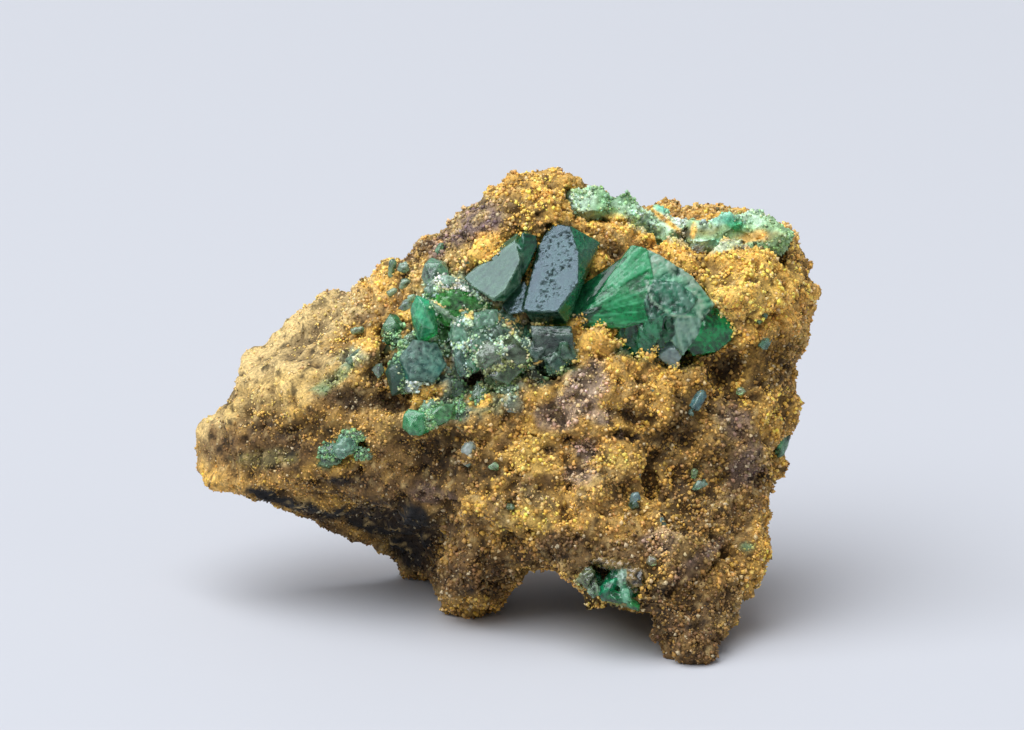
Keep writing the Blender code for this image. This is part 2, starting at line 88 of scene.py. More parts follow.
# Patches of the side that the viewer sees: tone, across, up, reach along, reach over, turn, strength.
# The dark_brown patches that sit on the pits below are painted shade in those holes.
FRONT_PATCHES = (
    ("cream", -13.2, 15.4, 6.4, 2.6, 38, 1.0),
    ("cream", -9.9, 17.6, 2.4, 1.6, 25, 0.9),
    ("pale_ochre", -13.0, 12.8, 4.6, 1.2, 12, 0.8),
    ("cream", -17.2, 10.6, 1.2, 1.8, 0, 0.8),
    ("brown", -14.2, 9.3, 4.0, 1.5, -8, 0.9),
    ("olive", -14.2, 9.0, 1.6, 0.6, 0, 0.5),
    ("ochre", -14.0, 7.9, 2.6, 0.6, -12, 0.6),
    ("orange", -9.8, 8.4, 2.0, 0.5, 8, 0.9),
    ("dark_brown", -12.6, 10.6, 0.9, 0.4, 10, 0.7),
    ("dark_brown", -8.6, 12.5, 2.0, 0.6, -8, 0.85),
    ("dark_brown", -6.5, 12.3, 0.9, 0.7, 0, 0.8),
    ("brown", -10.6, 12.2, 1.0, 1.0, 0, 0.6),
    ("orange", -8.4, 15.9, 1.8, 0.7, 15, 0.9),
    ("brown", -8.0, 17.2, 1.0, 0.4, 10, 0.7),
    ("mint", -9.0, 14.7, 1.0, 0.6, 20, 0.6),
    ("green_stain", -9.9, 13.6, 1.2, 0.4, 30, 0.6),
    ("black", -7.6, 14.6, 0.6, 0.6, 0, 0.6),
    ("brown", -4.6, 8.6, 3.8, 1.5, 0, 0.75),
    ("brown", -7.0, 7.1, 3.6, 1.0, -8, 0.9),
    ("purple_brown", -4.4, 7.0, 1.4, 0.6, -10, 0.6),
    ("ochre", -8.4, 10.9, 1.8, 0.8, 10, 0.7),
    ("black", -9.5, 7.7, 0.9, 0.3, 0, 1.0),
    ("black", -13.9, 6.9, 1.2, 0.4, -15, 1.0),
    ("black", -11.5, 6.0, 2.2, 0.45, -22, 1.0),
    ("black", -7.0, 5.4, 4.0, 1.0, -5, 1.0),
    ("black", -5.6, 3.6, 1.3, 1.5, 10, 1.0),
    ("brown", -9.4, 4.5, 2.4, 0.5, -24, 1.0),
    ("ochre", -8.9, 4.7, 1.5, 0.3, -24, 0.8),
    ("brown", -12.0, 5.2, 1.6, 0.3, -24, 0.9),
    ("brown", -2.2, 2.6, 2.4, 3.0, 0, 0.9),
    ("ochre", -3.6, 3.7, 0.6, 0.6, 0, 0.7),
    ("ochre", -1.6, 4.4, 1.2, 0.7, -20, 0.6),
    ("orange", -3.2, 0.6, 1.0, 0.5, 0, 0.6),
    ("orange", -1.6, 0.6, 0.8, 0.6, 20, 0.6),
    ("orange", 1.4, 24.0, 2.6, 1.5, 10, 0.95),
    ("orange", 4.2, 23.0, 1.6, 0.7, -20, 0.8),
    ("pale_ochre", -0.8, 23.4, 1.2, 0.8, 30, 0.7),
    ("grey_green", -1.2, 15.4, 3.3, 3.2, 0, 0.95),
    ("grey_green", -3.0, 12.4, 1.8, 1.4, 20, 0.9),
    ("mint", -3.4, 18.6, 2.0, 1.2, -15, 0.8),
    ("deep_green", 0.6, 16.2, 1.4, 1.0, 0, 0.9),
    ("brown", 0.4, 17.2, 1.4, 0.4, 0, 0.9),
    ("deep_green", 2.6, 15.0, 1.6, 1.6, 0, 0.9),
    ("dark_brown", 3.6, 16.9, 1.4, 0.4, 0, 0.8),
    ("deep_green", 7.6, 15.6, 2.8, 1.2, -20, 0.9),
    ("dark_brown", 5.2, 20.2, 1.4, 1.0, 30, 0.6),
    ("olive", -1.6, 12.4, 1.4, 0.9, 0, 0.7),
    ("olive", -6.6, 15.0, 0.8, 0.6, 0, 0.6),
    ("orange", -4.6, 12.6, 1.3, 0.4, 25, 1.0),
    ("dark_brown", -1.9, 13.5, 0.6, 0.6, 0, 1.0),
    ("purple_brown", -2.1, 22.4, 2.1, 1.1, 35, 1.0),
    ("purple_brown", -4.0, 20.9, 0.7, 0.6, 40, 0.9),
    ("cream", -2.5, 23.3, 1.6, 0.3, 35, 0.8),
    ("cream", -1.5, 22.9, 0.5, 0.25, 30, 0.8),
    ("cream", -2.9, 22.3, 0.6, 0.25, 40, 0.7),
    ("pale_ochre", -2.9, 20.6, 0.9, 0.6, 30, 0.9),
    ("orange", -1.2, 21.2, 1.0, 0.8, 30, 1.0),
    ("brown", -5.4, 21.2, 1.2, 0.7, 30, 0.95),
    ("pale_ochre", -5.0, 19.0, 1.0, 1.4, 0, 0.7),
    ("orange", -6.9, 19.4, 0.7, 1.0, 0, 0.7),
    ("orange", 8.4, 21.9, 3.8, 0.5, -18, 0.9),
    ("dark_brown", 6.1, 20.9, 1.2, 0.5, -10, 0.8),
    ("rust", 5.2, 20.2, 1.4, 0.8, 40, 0.9),
    ("orange", 5.4, 20.0, 0.9, 0.5, 30, 0.6),
    ("yellow", 13.8, 19.6, 3.2, 2.6, -30, 0.9),
    ("yellow", 12.2, 19.2, 1.4, 1.2, -40, 0.7),
    ("orange", 16.4, 19.2, 1.2, 2.0, 0, 0.5),
    ("orange", 12.6, 20.6, 2.6, 0.9, -10, 0.7),
    ("orange", 15.6, 17.4, 1.2, 0.9, 20, 0.8),
    ("dark_brown", 12.7, 14.4, 0.9, 0.8, 30, 0.95),
    ("orange", 13.9, 16.0, 0.9, 0.6, 60, 0.7),
    ("rust", 15.2, 15.0, 1.4, 1.6, 0, 0.8),
    ("orange", 15.6, 12.4, 1.2, 1.0, 0, 0.8),
    ("purple_brown", 13.0, 11.2, 1.2, 0.9, -30, 0.8),
    ("rust", 9.8, 11.6, 1.6, 2.4, -25, 1.0),
    ("dark_brown", 9.9, 11.2, 0.8, 1.6, -20, 0.4),
    ("ochre", 10.4, 13.6, 1.3, 0.7, 30, 0.5),
    ("rust", 8.2, 9.8, 1.3, 0.9, 0, 0.8),
    ("orange", 8.6, 12.6, 0.8, 1.6, 0, 0.7),
    ("orange", 4.6, 15.6, 1.1, 0.8, 30, 1.0),
    ("orange", 6.0, 14.0, 2.4, 0.6, 10, 0.8),
    ("orange", 8.6, 14.0, 1.0, 0.6, -20, 0.8),
    ("pink_grey", 4.2, 13.2, 1.6, 1.0, 30, 1.0),
    ("pink_grey", 3.3, 11.8, 1.7, 0.8, 15, 0.95),
    ("pink_grey", 5.4, 11.5, 0.7, 0.5, 0, 0.9),
    ("pink_grey", 4.5, 9.6, 0.7, 0.6, 60, 0.9),
    ("pink_grey", 4.0, 8.2, 0.8, 0.5, 0, 0.8),
    ("orange", 2.2, 12.8, 1.3, 0.5, 25, 1.0),
    ("yellow", 1.6, 9.8, 1.4, 0.6, 20, 0.8),
    ("yellow", 1.4, 8.6, 1.2, 0.5, 10, 0.6),
    ("yellow", 6.2, 8.9, 1.2, 0.5, 0, 1.0),
    ("yellow", 1.2, 5.6, 1.4, 0.9, -10, 1.0),
    ("cream", 1.8, 6.8, 1.2, 0.4, -30, 0.7),
    ("cream", -0.3, 6.0, 0.4, 1.0, 20, 0.7),
    ("brown", 2.0, 7.8, 1.6, 0.5, -10, 0.6),
    ("brown", 6.2, 7.9, 1.2, 0.5, 0, 0.4),
    ("dark_brown", 6.6, 10.4, 0.9, 0.3, -5, 1.0),
    ("dark_brown", 6.9, 11.6, 0.4, 0.5, 0, 0.9),
    ("dark_brown", 2.4, 9.5, 0.6, 0.25, 15, 0.9),
    ("dark_brown", 8.2, 7.6, 0.3, 0.9, 0, 1.0),
    ("black", 3.1, 4.2, 1.4, 0.35, 10, 0.8),
    ("brown", 4.6, 3.7, 3.4, 1.3, -14, 0.85),
    ("brown", 1.6, 3.4, 1.2, 0.6, 0, 0.6),
    ("brown", 7.4, 3.9, 0.9, 0.7, 20, 0.8),
    ("brown", 12.8, 7.6, 2.6, 3.0, 60, 0.55),
    ("purple_brown", 13.6, 8.4, 1.4, 0.9, 60, 0.8),
    ("purple_brown", 10.6, 3.0, 2.6, 0.5, 40, 0.9),
    ("brown", 10.6, 4.6, 2.0, 0.9, 40, 0.6),
    ("brown", 10.6, 0.9, 3.0, 2.4, 30, 0.85),
    ("brown", 11.0, -1.9, 3.4, 1.3, 0, 0.9),
    ("brown", 13.4, 4.6, 1.4, 2.2, -20, 0.6),
    ("pink_grey", 8.8, 4.4, 1.0, 0.7, 20, 0.5),
    ("ochre", 12.6, 2.8, 1.4, 0.8, 50, 0.7),
    ("orange", 14.2, 2.4, 0.7, 1.0, -20, 0.9),
    ("orange", 14.6, 5.2, 0.5, 0.8, 0, 0.7),
    ("orange", 15.6, 8.8, 0.4, 1.2, 0, 0.8),
    ("green_stain", 13.7, 3.9, 0.4, 0.3, 0, 0.8),
    ("green_stain", 4.6, 2.0, 0.6, 0.5, 0, 0.7),
    ("mint", 6.6, 1.8, 0.4, 0.9, 10, 0.9),
    ("green_stain", 6.2, 0.9, 1.2, 0.3, -10, 0.8),
    ("mint", 4.5, 23.7, 0.8, 0.8, 0, 0.8),
    ("mint", 8.0, 22.6, 2.6, 0.5, -22, 0.8),
    ("green_stain", 6.0, 23.9, 1.4, 0.4, -15, 0.8),
    ("mint", 12.4, 21.3, 2.0, 0.3, 5, 0.8),
    ("green_stain", 13.0, 22.7, 0.9, 0.6, 0, 0.8),
    ("mint", 14.2, 22.8, 0.8, 0.4, -15, 0.6),
)
# Patches of the broken back, in the same terms but seen from the front through the rock.
BACK_PATCHES = (
    ("cream", -12.5, 13.0, 6.0, 4.0, 30, 0.95),
    ("pale_ochre", -4.0, 17.0, 3.6, 3.0, 0, 0.8),
    ("purple_brown", 1.5, 20.5, 3.2, 1.4, -15, 0.8),
    ("brown", 5.0, 11.0, 4.0, 4.5, 30, 0.8),
    ("orange", 10.5, 17.5, 3.6, 2.2, -30, 0.8),
    ("pink_grey", -1.0, 11.0, 3.0, 1.6, 20, 0.8),
    ("black", -8.0, 6.2, 5.0, 1.4, -12, 0.9),
    ("yellow", 9.6, 5.0, 2.4, 2.6, 20, 0.7),
    ("brown", 13.4, 9.0, 2.0, 3.0, 0, 0.7),
    ("dark_brown", 3.0, 6.0, 3.0, 0.8, -10, 0.8),
    ("mint", 12.0, 21.6, 2.6, 0.6, -10, 0.7),
    ("green_stain", 6.4, 14.6, 1.2, 0.7, 30, 0.6),
)
# How far the patches' edges wander, in patch sizes.
PATCH_WANDER = 0.55

# Deep little holes in the front: across, up, reach along, reach over, turn, depth.
# The dark_brown patches at these places in FRONT_PATCHES are painted shade in the holes.
PITS = (
    (8.2, 7.6, 0.35, 0.9, 0, 1.1), (6.6, 10.4, 0.9, 0.28, -8, 0.8), (6.9, 11.6, 0.35, 0.5, 10, 0.7),
    (2.4, 9.6, 0.6, 0.25, 15, 0.6), (3.0, 10.2, 0.5, 0.2, 0, 0.5), (4.4, 8.4, 0.35, 0.25, 0, 0.5),
    (7.4, 12.6, 0.4, 0.3, 40, 0.5), (12.8, 14.2, 0.7, 0.8, 20, 0.9), (-1.9, 13.5, 0.55, 0.5, 0, 1.3),
    (-6.6, 12.2, 0.7, 0.4, 0, 0.8), (-9.0, 12.5, 0.7, 0.4, 0, 0.6), (9.8, 7.8, 0.4, 0.6, 20, 0.6),
    (3.6, 5.6, 0.4, 0.3, 0, 0.4), (1.9, 5.6, 0.4, 0.15, -50, 0.4), (8.5, 4.2, 0.5, 0.2, 40, 0.5),
    (-2.4, 8.6, 0.4, 0.4, 0, 0.5), (4.6, 11.9, 0.4, 0.3, 20, 0.5), (6.1, 20.8, 0.6, 0.4, 0, 0.7),
    (10.9, 22.2, 0.7, 0.4, 0, 0.7), (10.0, 22.1, 0.4, 0.4, 0, 0.6), (4.6, 22.9, 0.4, 0.3, 0, 0.5),
    (12.0, 3.4, 1.4, 0.25, 50, 0.6), (15.3, 17.3, 0.8, 0.15, 10, 0.5), (1.7, 13.4, 0.6, 0.3, 10, 0.6),
    (-12.6, 10.6, 0.6, 0.25, 10, 0.5), (-5.0, 9.6, 0.6, 0.3, 0, 0.4), (-10.2, 12.0, 0.4, 0.3, 0, 0.5),
)
# Mounds of grains that lap over the crystals, in the same terms, the last being how far they stand out.
MOUNDS = (
    (5.3, 15.8, 1.3, 0.55, 12, 1.0), (3.7, 16.7, 0.8, 0.25, 0, 0.6), (-1.3, 21.0, 1.1, 0.6, 40, 0.8),
    (-4.9, 12.7, 0.9, 0.35, 30, 0.5), (8.2, 14.9, 0.3, 0.25, 0, 0.4),
    (5.0, 20.3, 0.8, 0.5, 35, 0.6), (9.9, 20.6, 1.4, 0.35, -35, 0.5), (12.9, 17.9, 0.8, 0.4, -50, 0.5),
    (2.0, 15.9, 0.3, 0.3, 0, 0.4), (-5.9, 17.4, 0.5, 0.6, 0, 0.4), (-1.6, 12.4, 0.8, 0.5, 0, 0.4),
)
# Places where the rock is slimmer than the CAD solid, in the same terms as the pits.
TRIMS = (
    (8.0, -1.3, 1.3, 1.3, 0, 0.9), (7.9, 0.2, 0.8, 0.9, 0, 0.4), (13.8, -0.6, 1.0, 1.6, 0, 0.6),
    (16.7, 8.6, 0.7, 0.7, 0, 0.6), (-9.5, 4.0, 3.4, 0.8, -22, 0.5), (17.6, 18.0, 0.7, 1.6, 0, 0.3),
    (-3.9, 23.1, 1.5, 0.8, 45, 0.8), (-1.6, 24.6, 1.6, 0.7, 35, 0.6), (-6.4, 21.3, 0.8, 0.6, 40, 0.4),
    (-17.6, 10.4, 0.9, 1.2, 0, -0.5), (-17.3, 7.9, 0.7, 0.6, 0, -0.4), (-18.0, 8.9, 0.3, 0.3, 0, 0.5),
)
# The rock's skin: size of one bump, knob or chunk, and how far it stands out.
ROCK_BUMPS = ((2.6, 0.25), (1.0, 0.25), (0.48, 0.16))
ROCK_KNOBS = ((1.6, 0.25), (0.7, 0.28))
ROCK_CHUNKS = ((3.4, 0.6), (1.5, 0.34))
KNOB_LEVEL = 0.45
# Caves in the skin, and how far the rock may stand out where a crystal covers it.
CAVE_SIZE = 0.85
CAVE_DEPTH = 0.5
COVERED_HEIGHT = 0.05
# Dark green painted as shade on the rock where the crystals cover it.
UNDER_CRYSTAL_SHADE = (0.08, 0.20, 0.09)


def to_world(places):
    """World points in metres from leaning millimetres."""
    return (np.asarray(places) @ AXES + ORIGIN) * MM


def to_leaning(points):
    """Leaning millimetres from world points in metres."""
    return (np.asarray(points) / MM - ORIGIN) @ AXES.T


def smooth_step(low, high, value):
    share = np.clip((value - low) / (high - low), 0.0, 1.0)
    return share * share * (3 - 2 * share)


def field(places, size, seed=0.0):
    """Smooth noise from about -1 to 1 at many places, with lumps of a size."""
    scaled = (np.asarray(places) / size + seed * 17.3).tolist()
    return np.array([noise.noise(row) for row in scaled])


def knobs(places, size, seed=0.0):
    """Distance to the nearest of some scattered points, in their own spacing."""
    scaled = (np.asarray(places) / size + seed * 11.9).tolist()
    return np.array([noise.voronoi(row)[0][0] for row in scaled])


def chunks(places, size, seed=0.0):
    """Relief of broken rock: tilted flats with steps between them, one to each of some scattered points."""
    scaled = np.asarray(places) / size + seed * 7.7
    nearest = np.array([tuple(noise.voronoi(row)[1][0]) for row in scaled.tolist()])
    tilt = np.sin(nearest * 9.7 + (0.0, 2.0, 4.0))
    return ((scaled - nearest) * tilt).sum(1) + 0.4 * np.sin(nearest @ (5.1, 7.3, 3.9))


def unit(vectors):
    return vectors / np.maximum(np.linalg.norm(vectors, axis=-1, keepdims=True), 1e-9)


def normals_of(points, quads):
    """Smooth outward directions at the corners of a skin of quads."""
    across = points[quads[:, 2]] - points[quads[:, 0]]
    over = points[quads[:, 3]] - points[quads[:, 1]]
    face = np.cross(across, over)
    total = np.zeros_like(points)
    for corner in range(4):
        for axis in range(3):
            total[:, axis] += np.bincount(quads[:, corner], face[:, axis], len(points))
    return unit(total)


def remeshed(points, faces, grid):
    """The skin that encloses some closed shapes, as quads on an even grid."""
    mesh = bpy.data.meshes.new("rough")
    mesh.from_pydata([tuple(point) for point in points], [], [tuple(face) for face in faces])
    rough = bpy.data.objects.new("rough", mesh)
    bpy.context.scene.collection.objects.link(rough)
    modifier = rough.modifiers.new("grid", "REMESH")
    modifier.mode = "VOXEL"
    modifier.voxel_size = grid
    shown = rough.evaluated_get(bpy.context.evaluated_depsgraph_get()).data
    even = np.empty(len(shown.vertices) * 3)
    shown.vertices.foreach_get("co", even)
    corners = np.empty(len(shown.loops), np.int32)
    shown.loops.foreach_get("vertex_index", corners)
    bpy.data.objects.remove(rough, do_unlink=True)
    return even.reshape(-1, 3), corners.reshape(-1, 4)


def node_skin(name):
    """The CAD solid of a node in leaning millimetres, wound outward there."""
    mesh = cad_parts[name].data
    bm = bmesh.new()
    bm.from_mesh(mesh)
    bmesh.ops.remove_doubles(bm, verts=bm.verts, dist=1e-6)
    bm.verts.index_update()
    points = to_leaning([vertex.co[:] for vertex in bm.verts])
    faces = [[vertex.index for vertex in reversed(face.verts)] for face in bm.faces]
    bm.free()
    return points, faces


def new_piece(name, points, faces, colours, slot, material, replaces=(), smooth=True):
    """A piece of the specimen from leaning millimetres, with a colour for each of its points.

    A fourth column of the colours is 1 where a face is whole and 0 in its dull marks.
    """
    mesh = bpy.data.meshes.new(name)
    sides = faces.shape[1]
    mesh.vertices.add(len(points))
    mesh.vertices.foreach_set("co", to_world(points).astype(np.float32).ravel())
    mesh.loops.add(faces.size)
    mesh.loops.foreach_set("vertex_index", faces[:, ::-1].astype(np.int32).ravel())
    mesh.polygons.add(len(faces))
    mesh.polygons.foreach_set("loop_start", np.arange(0, faces.size, sides, dtype=np.int32))
    mesh.update(calc_edges=True)
    mesh.validate()
    if smooth:
        mesh.shade_smooth()
    layer = mesh.color_attributes.new("tone", "FLOAT_COLOR", "POINT")
    rgba = np.ones((len(points), 4), np.float32)
    rgba[:, :colours.shape[1]] = np.clip(colours, 0.0, 1.0)
    layer.data.foreach_set("color", rgba.ravel())
    mesh.materials.append(material)
    piece = bpy.data.objects.new(name, mesh)
    bpy.context.scene.collection.objects.link(piece)
    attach(piece, "root")
    if replaces:
        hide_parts(*replaces)
    return piece


class Soundings:
    """How far behind the first surface lies, looked at along the viewer's line of sight."""

    START = -40.0

    def __init__(self, names):
        points, faces = [], []
        for name in names:
            skin, sides = node_skin(name)
            faces += [[len(points) + i for i in side] for side in sides]
            points += skin.tolist()
        self.tree = BVHTree.FromPolygons(points, faces)

    def behind(self, across, up):
        hit = self.tree.ray_cast(Vector((across, up, self.START)), Vector((0, 0, 1)))[0]
        return hit.z if hit else 0.0


class Body:
    """A convex crystal body: its corners, flat faces, tone and the finish of its faces."""

    SAME_WAY = math.cos(math.radians(7))

    def __init__(self, corners, tone, streak=None, streak_height=0.0, rough=0.02, rim=0.0, etch=0.0,
                 fan_from=None, milky=0.0, milk=(0.50, 0.80, 0.58), veil=0.15, sides=()):
        bm = bmesh.new()
        for corner in corners:
            bm.verts.new(corner)
        bmesh.ops.convex_hull(bm, input=bm.verts)
        bmesh.ops.delete(bm, geom=[vertex for vertex in bm.verts if not vertex.link_faces], context="VERTS")
        bmesh.ops.recalc_face_normals(bm, faces=bm.faces)
        bm.verts.index_update()
        self.corners = [tuple(vertex.co) for vertex in bm.verts]
        self.sides = [[vertex.index for vertex in face.verts] for face in bm.faces]
        planes = []
        for face in sorted(bm.faces, key=lambda face: -face.calc_area()):
            if all(face.normal.dot(outward) < self.SAME_WAY for outward, _ in planes):
                reach = max(vertex.co.dot(face.normal) for vertex in bm.verts)
                planes.append((face.normal.copy(), reach))
        bm.free()
        self.normals = np.array([tuple(outward) for outward, _ in planes])
        self.reaches = np.array([reach for _, reach in planes])
        self.tone = np.array(TONES[tone] if isinstance(tone, str) else tone)
        self.streak = streak
        self.streak_height = streak_height
        self.rough = rough
        self.rim = rim
        self.etch = etch
        self.fan_from = fan_from
        self.milky = milky
        self.milk = np.array(milk)
        self.veil = veil
        # Faces that look one way take another tone: painted light and shade on a crystal's sides.
        self.face_tones = np.tile(self.tone, (len(self.normals), 1))
        for way, side_light_tone in sides:
            self.face_tones[self.normals @ unit(np.array(way, float)) > 0.6] = side_light_tone

    def streaks(self, points, seed):
        """Noise drawn out along the body's striae, which run one way or fan out from a point."""
        if self.fan_from is not None:
            offset = points[:, :2] - self.fan_from
            angle = np.arctan2(offset[:, 1], offset[:, 0])
            reach = np.hypot(*offset.T)
            broad = np.stack([angle * 13.0, reach / 3.0, points[:, 2] / 3.0], 1)
            fine = np.stack([angle * 38.0, reach / 2.6, points[:, 2] / 2.0], 1)
            return 0.6 * field(broad, 1.0, seed) + 0.6 * field(fine, 1.0, seed + 0.5)
        if self.streak is not None:
            along = unit(np.array(self.streak, float))
            run = (points @ along)[:, None] * along
            return field((points - run) / 0.16 + run / 2.2, 1.0, seed)
        return np.zeros(len(points))

    def beyond(self, points):
        """How far each point is beyond each flat face."""
        return points @ self.normals.T - self.reaches


def lump(soundings, across, up, out, along, over, deep, turn, tone, seed, sides=13, surface=None, **finish):
    """A faceted lump that stands out from what is already there, or from a surface of known depth."""
    rng = np.random.default_rng(seed)
    golden = math.pi * (3 - math.sqrt(5))
    count = np.arange(sides)
    rise = 1 - 2 * (count + 0.5) / sides
    ring = np.sqrt(1 - rise ** 2)
    ways = np.stack([ring * np.cos(golden * count), ring * np.sin(golden * count), rise], 1)
    ways = unit(ways + rng.uniform(-0.28, 0.28, ways.shape)) * rng.uniform(1.12, 1.36, (sides, 1))
    corners = ways * (along, over, deep)
    cosine, sine = math.cos(math.radians(turn)), math.sin(math.radians(turn))
    turned = np.array(((cosine, sine, 0), (-sine, cosine, 0), (0, 0, 1)))
    if surface is None:
        surface = soundings.behind(across, up)
    behind = surface - out + deep * 0.75
    return Body(corners @ turned + (across, up, behind), tone, **finish)


def prism(centre, axis, half_length, radius, sides, tip, spin, tone, **finish):
    """A prism along an axis that ends in a blunt point."""
    axis = unit(np.array(axis, float))
    side = unit(np.cross(axis, (0.31, 0.17, 0.94)))
    third = np.cross(axis, side)
    corners = []
    for i in range(sides):
        angle = math.tau * (i + spin) / sides
        spoke = (side * math.cos(angle) + third * math.sin(angle)) * radius
        corners.append(np.array(centre) + spoke - axis * half_length)
        corners.append(np.array(centre) + spoke + axis * (half_length - tip))
        corners.append(np.array(centre) + spoke * 0.35 + axis * half_length)
    return Body(corners, tone, **finish)


# Turns places into the space where the main face's scratches are round.
SCRATCH = np.array(((2.2, 2.4, 0.0), (-0.9, 4.2, 0.0), (0.0, 0.0, 3.0)))
# The etching is thickest above this height up the face.
ETCHED_ABOVE = 20.0


def grown_together(bodies, grid):
    """One skin round several bodies, with the flat faces flat again, and whose face each point is on."""
    points, faces = [], []
    for body in bodies:
        faces += [[len(points) + i for i in side] for side in body.sides]
        points += body.corners
    skin, quads = remeshed(points, faces, grid)
    beyond = np.stack([body.beyond(skin).max(1) for body in bodies], 1)
    owner = beyond.argmin(1)
    seam = np.partition(beyond, 1, axis=1)[:, 1] if len(bodies) > 1 else np.full(len(skin), 9.0)
    edge = np.zeros(len(skin))
    flat = np.zeros(len(skin), int)
    for i, body in enumerate(bodies):
        mine = owner == i
        if not mine.any():
            continue
        past = body.beyond(skin[mine])
        face = past.argmax(1)
        nearest = past.max(1)
        flat[mine] = face
        edge[mine] = nearest - np.partition(past, -2, axis=1)[:, -2]
        pull = np.where(np.abs(nearest) < grid * 1.3, nearest, 0.0)
        skin[mine] -= body.normals[face] * pull[:, None]
    return skin, quads, owner, flat, edge, seam


def finished(bodies, grid, seed):
    """A crystal group's skin with striated, etched faces, its tones and each point's distance from a seam."""
    skin, quads, owner, flat, edge, seam = grown_together(bodies, grid)
    outward = normals_of(skin, quads)
    fine = field(skin, 0.22, seed)
    finer = field(skin, 0.11, seed + 1)
    cloud = field(skin, 1.1, seed + 2)
    height = np.zeros(len(skin))
    tones = np.ones((len(skin), 4))
    for i, body in enumerate(bodies):
        mine = owner == i
        if not mine.any():
            continue
        streaks = body.streaks(skin[mine], seed + 3)
        scratch = np.abs(field(skin[mine] @ SCRATCH, 1.0, seed + 4))
        upper = 0.12 * (skin[mine][:, 1] - ETCHED_ABOVE)
        cut = smooth_step(0.10, 0.03, scratch) * smooth_step(-0.25, 0.25, cloud[mine] + upper)
        relief = body.rough * (fine[mine] + 0.6 * finer[mine]) + body.streak_height * streaks
        height[mine] = relief - body.etch * cut
        shade = np.maximum(1 + body.veil * (2 * cloud[mine] + 2 * fine[mine]) + 0.5 * streaks, 0.1)
        tone = body.face_tones[flat[mine]] * (shade * (1 - 0.8 * cut * (body.etch > 0)))[:, None]
        milk = body.milky * smooth_step(-0.1, 0.35, streaks + 0.5 * cloud[mine])
        tone += (body.milk - tone) * milk[:, None]
        rim = body.rim * smooth_step(0.16, 0.0, edge[mine]) * smooth_step(-0.5, 0.3, fine[mine])
        tones[mine, :3] = tone + (np.array(TONES["mint"]) - tone) * rim[:, None]
        tones[mine, 3] = 1 - cut * (body.etch > 0)
    return skin + outward * height[:, None], quads, tones, seam


def patchy(places, patches, tones, seed):
    """Lay patches of tone over what is there, with wandering edges."""
    wander = np.stack([field(places, 1.3, seed), field(places, 1.3, seed + 1)], 1)
    finer = field(places, 0.5, seed + 2)
    for tone, across, up, along, over, turn, strength in patches:
        angle = math.radians(turn)
        offset = places[:, :2] - (across, up)
        first = (offset[:, 0] * math.cos(angle) + offset[:, 1] * math.sin(angle)) / along
        second = (offset[:, 1] * math.cos(angle) - offset[:, 0] * math.sin(angle)) / over
        first = first + PATCH_WANDER * wander[:, 0]
        second = second + PATCH_WANDER * wander[:, 1]
        distance = np.hypot(first, second) + 0.35 * finer
        share = strength * smooth_step(1.35, 0.65, distance)
        tones += (np.array(TONES[tone]) - tones) * share[:, None]
    return tones


def rock_tones(places, facing):
    """The rock's colour at some places. Facing is 1 towards the viewer and -1 away."""
    slow = field(places, 2.4, 1)
    quick = field(places, 0.9, 2)
    names = ("ochre", "orange", "brown", "pale_ochre")
    ochre, orange, brown, pale = (np.array(TONES[name]) for name in names)
    base = ochre + (orange - ochre) * smooth_step(-0.1, 0.4, slow)[:, None]
    base += (brown - base) * (0.75 * smooth_step(0.05, 0.5, quick))[:, None]
    base += (pale - base) * (0.6 * smooth_step(0.1, 0.5, -slow))[:, None]
    front = patchy(places, FRONT_PATCHES, base.copy(), 3)
    back = patchy(places, BACK_PATCHES, base.copy(), 6)
    share = smooth_step(-0.45, 0.05, facing)[:, None]
    return back + (front - back) * share


def speckled(tones, places, amount, seed):
    """Grain-sized changes of lightness and a few stray grains of other tones."""
    fine = field(places, 0.28, seed)
    other = field(places, 0.45, seed + 1)
    tones = tones * (1 + amount * fine)[:, None]
    dark = 0.75 * smooth_step(0.22, 0.5, other)
    tones = tones * (1 - dark)[:, None]
    pale = 0.5 * smooth_step(0.25, 0.55, -other)
    return tones + (np.array(TONES["cream"]) - tones) * pale[:, None]


def spots(places, table):
    """Sum of rounded spots of some height each, seen from the front."""
    total = np.zeros(len(places))
    for across, up, along, over, turn, height in table:
        angle = math.radians(turn)
        offset = places[:, :2] - (across, up)
        first = (offset[:, 0] * math.cos(angle) + offset[:, 1] * math.sin(angle)) / along
        second = (offset[:, 1] * math.cos(angle) - offset[:, 0] * math.sin(angle)) / over
        total += height * np.exp(-(first ** 2 + second ** 2) ** 1.5)
    return total


def smoothness(places):
    """How much quieter the rock's skin is at a place: the pale flank and the tip are chunky, not grainy."""
    flank = smooth_step(-8.5, -11.5, places[:, 0]) * smooth_step(11.0, 13.0, places[:, 1])
    tip = smooth_step(-14.5, -16.0, places[:, 0])
    return 0.9 * np.maximum(flank, tip)


def nodes_of(material):
    material.use_nodes = True
    tree = material.node_tree
    return tree, tree.nodes, tree.links, tree.nodes["Principled BSDF"]


def noise_node(tree, coordinates, size, detail=3.0, roughness=0.6):
    """A noise texture whose lumps have a size in millimetres."""
    texture = tree.nodes.new("ShaderNodeTexNoise")
    texture.inputs["Scale"].default_value = 1.0 / (size * MM)
    texture.inputs["Detail"].default_value = detail
    texture.inputs["Roughness"].default_value = roughness
    tree.links.new(coordinates.outputs["Object"], texture.inputs["Vector"])
    return texture


def ranged(tree, source, low, high):
    """Map 0.3..0.7 of a noise to a range."""
    mapped = tree.nodes.new("ShaderNodeMapRange")
    mapped.inputs["From Min"].default_value = 0.3
    mapped.inputs["From Max"].default_value = 0.7
    mapped.inputs["To Min"].default_value = low
    mapped.inputs["To Max"].default_value = high
    tree.links.new(source, mapped.inputs["Value"])
    return mapped.outputs["Result"]


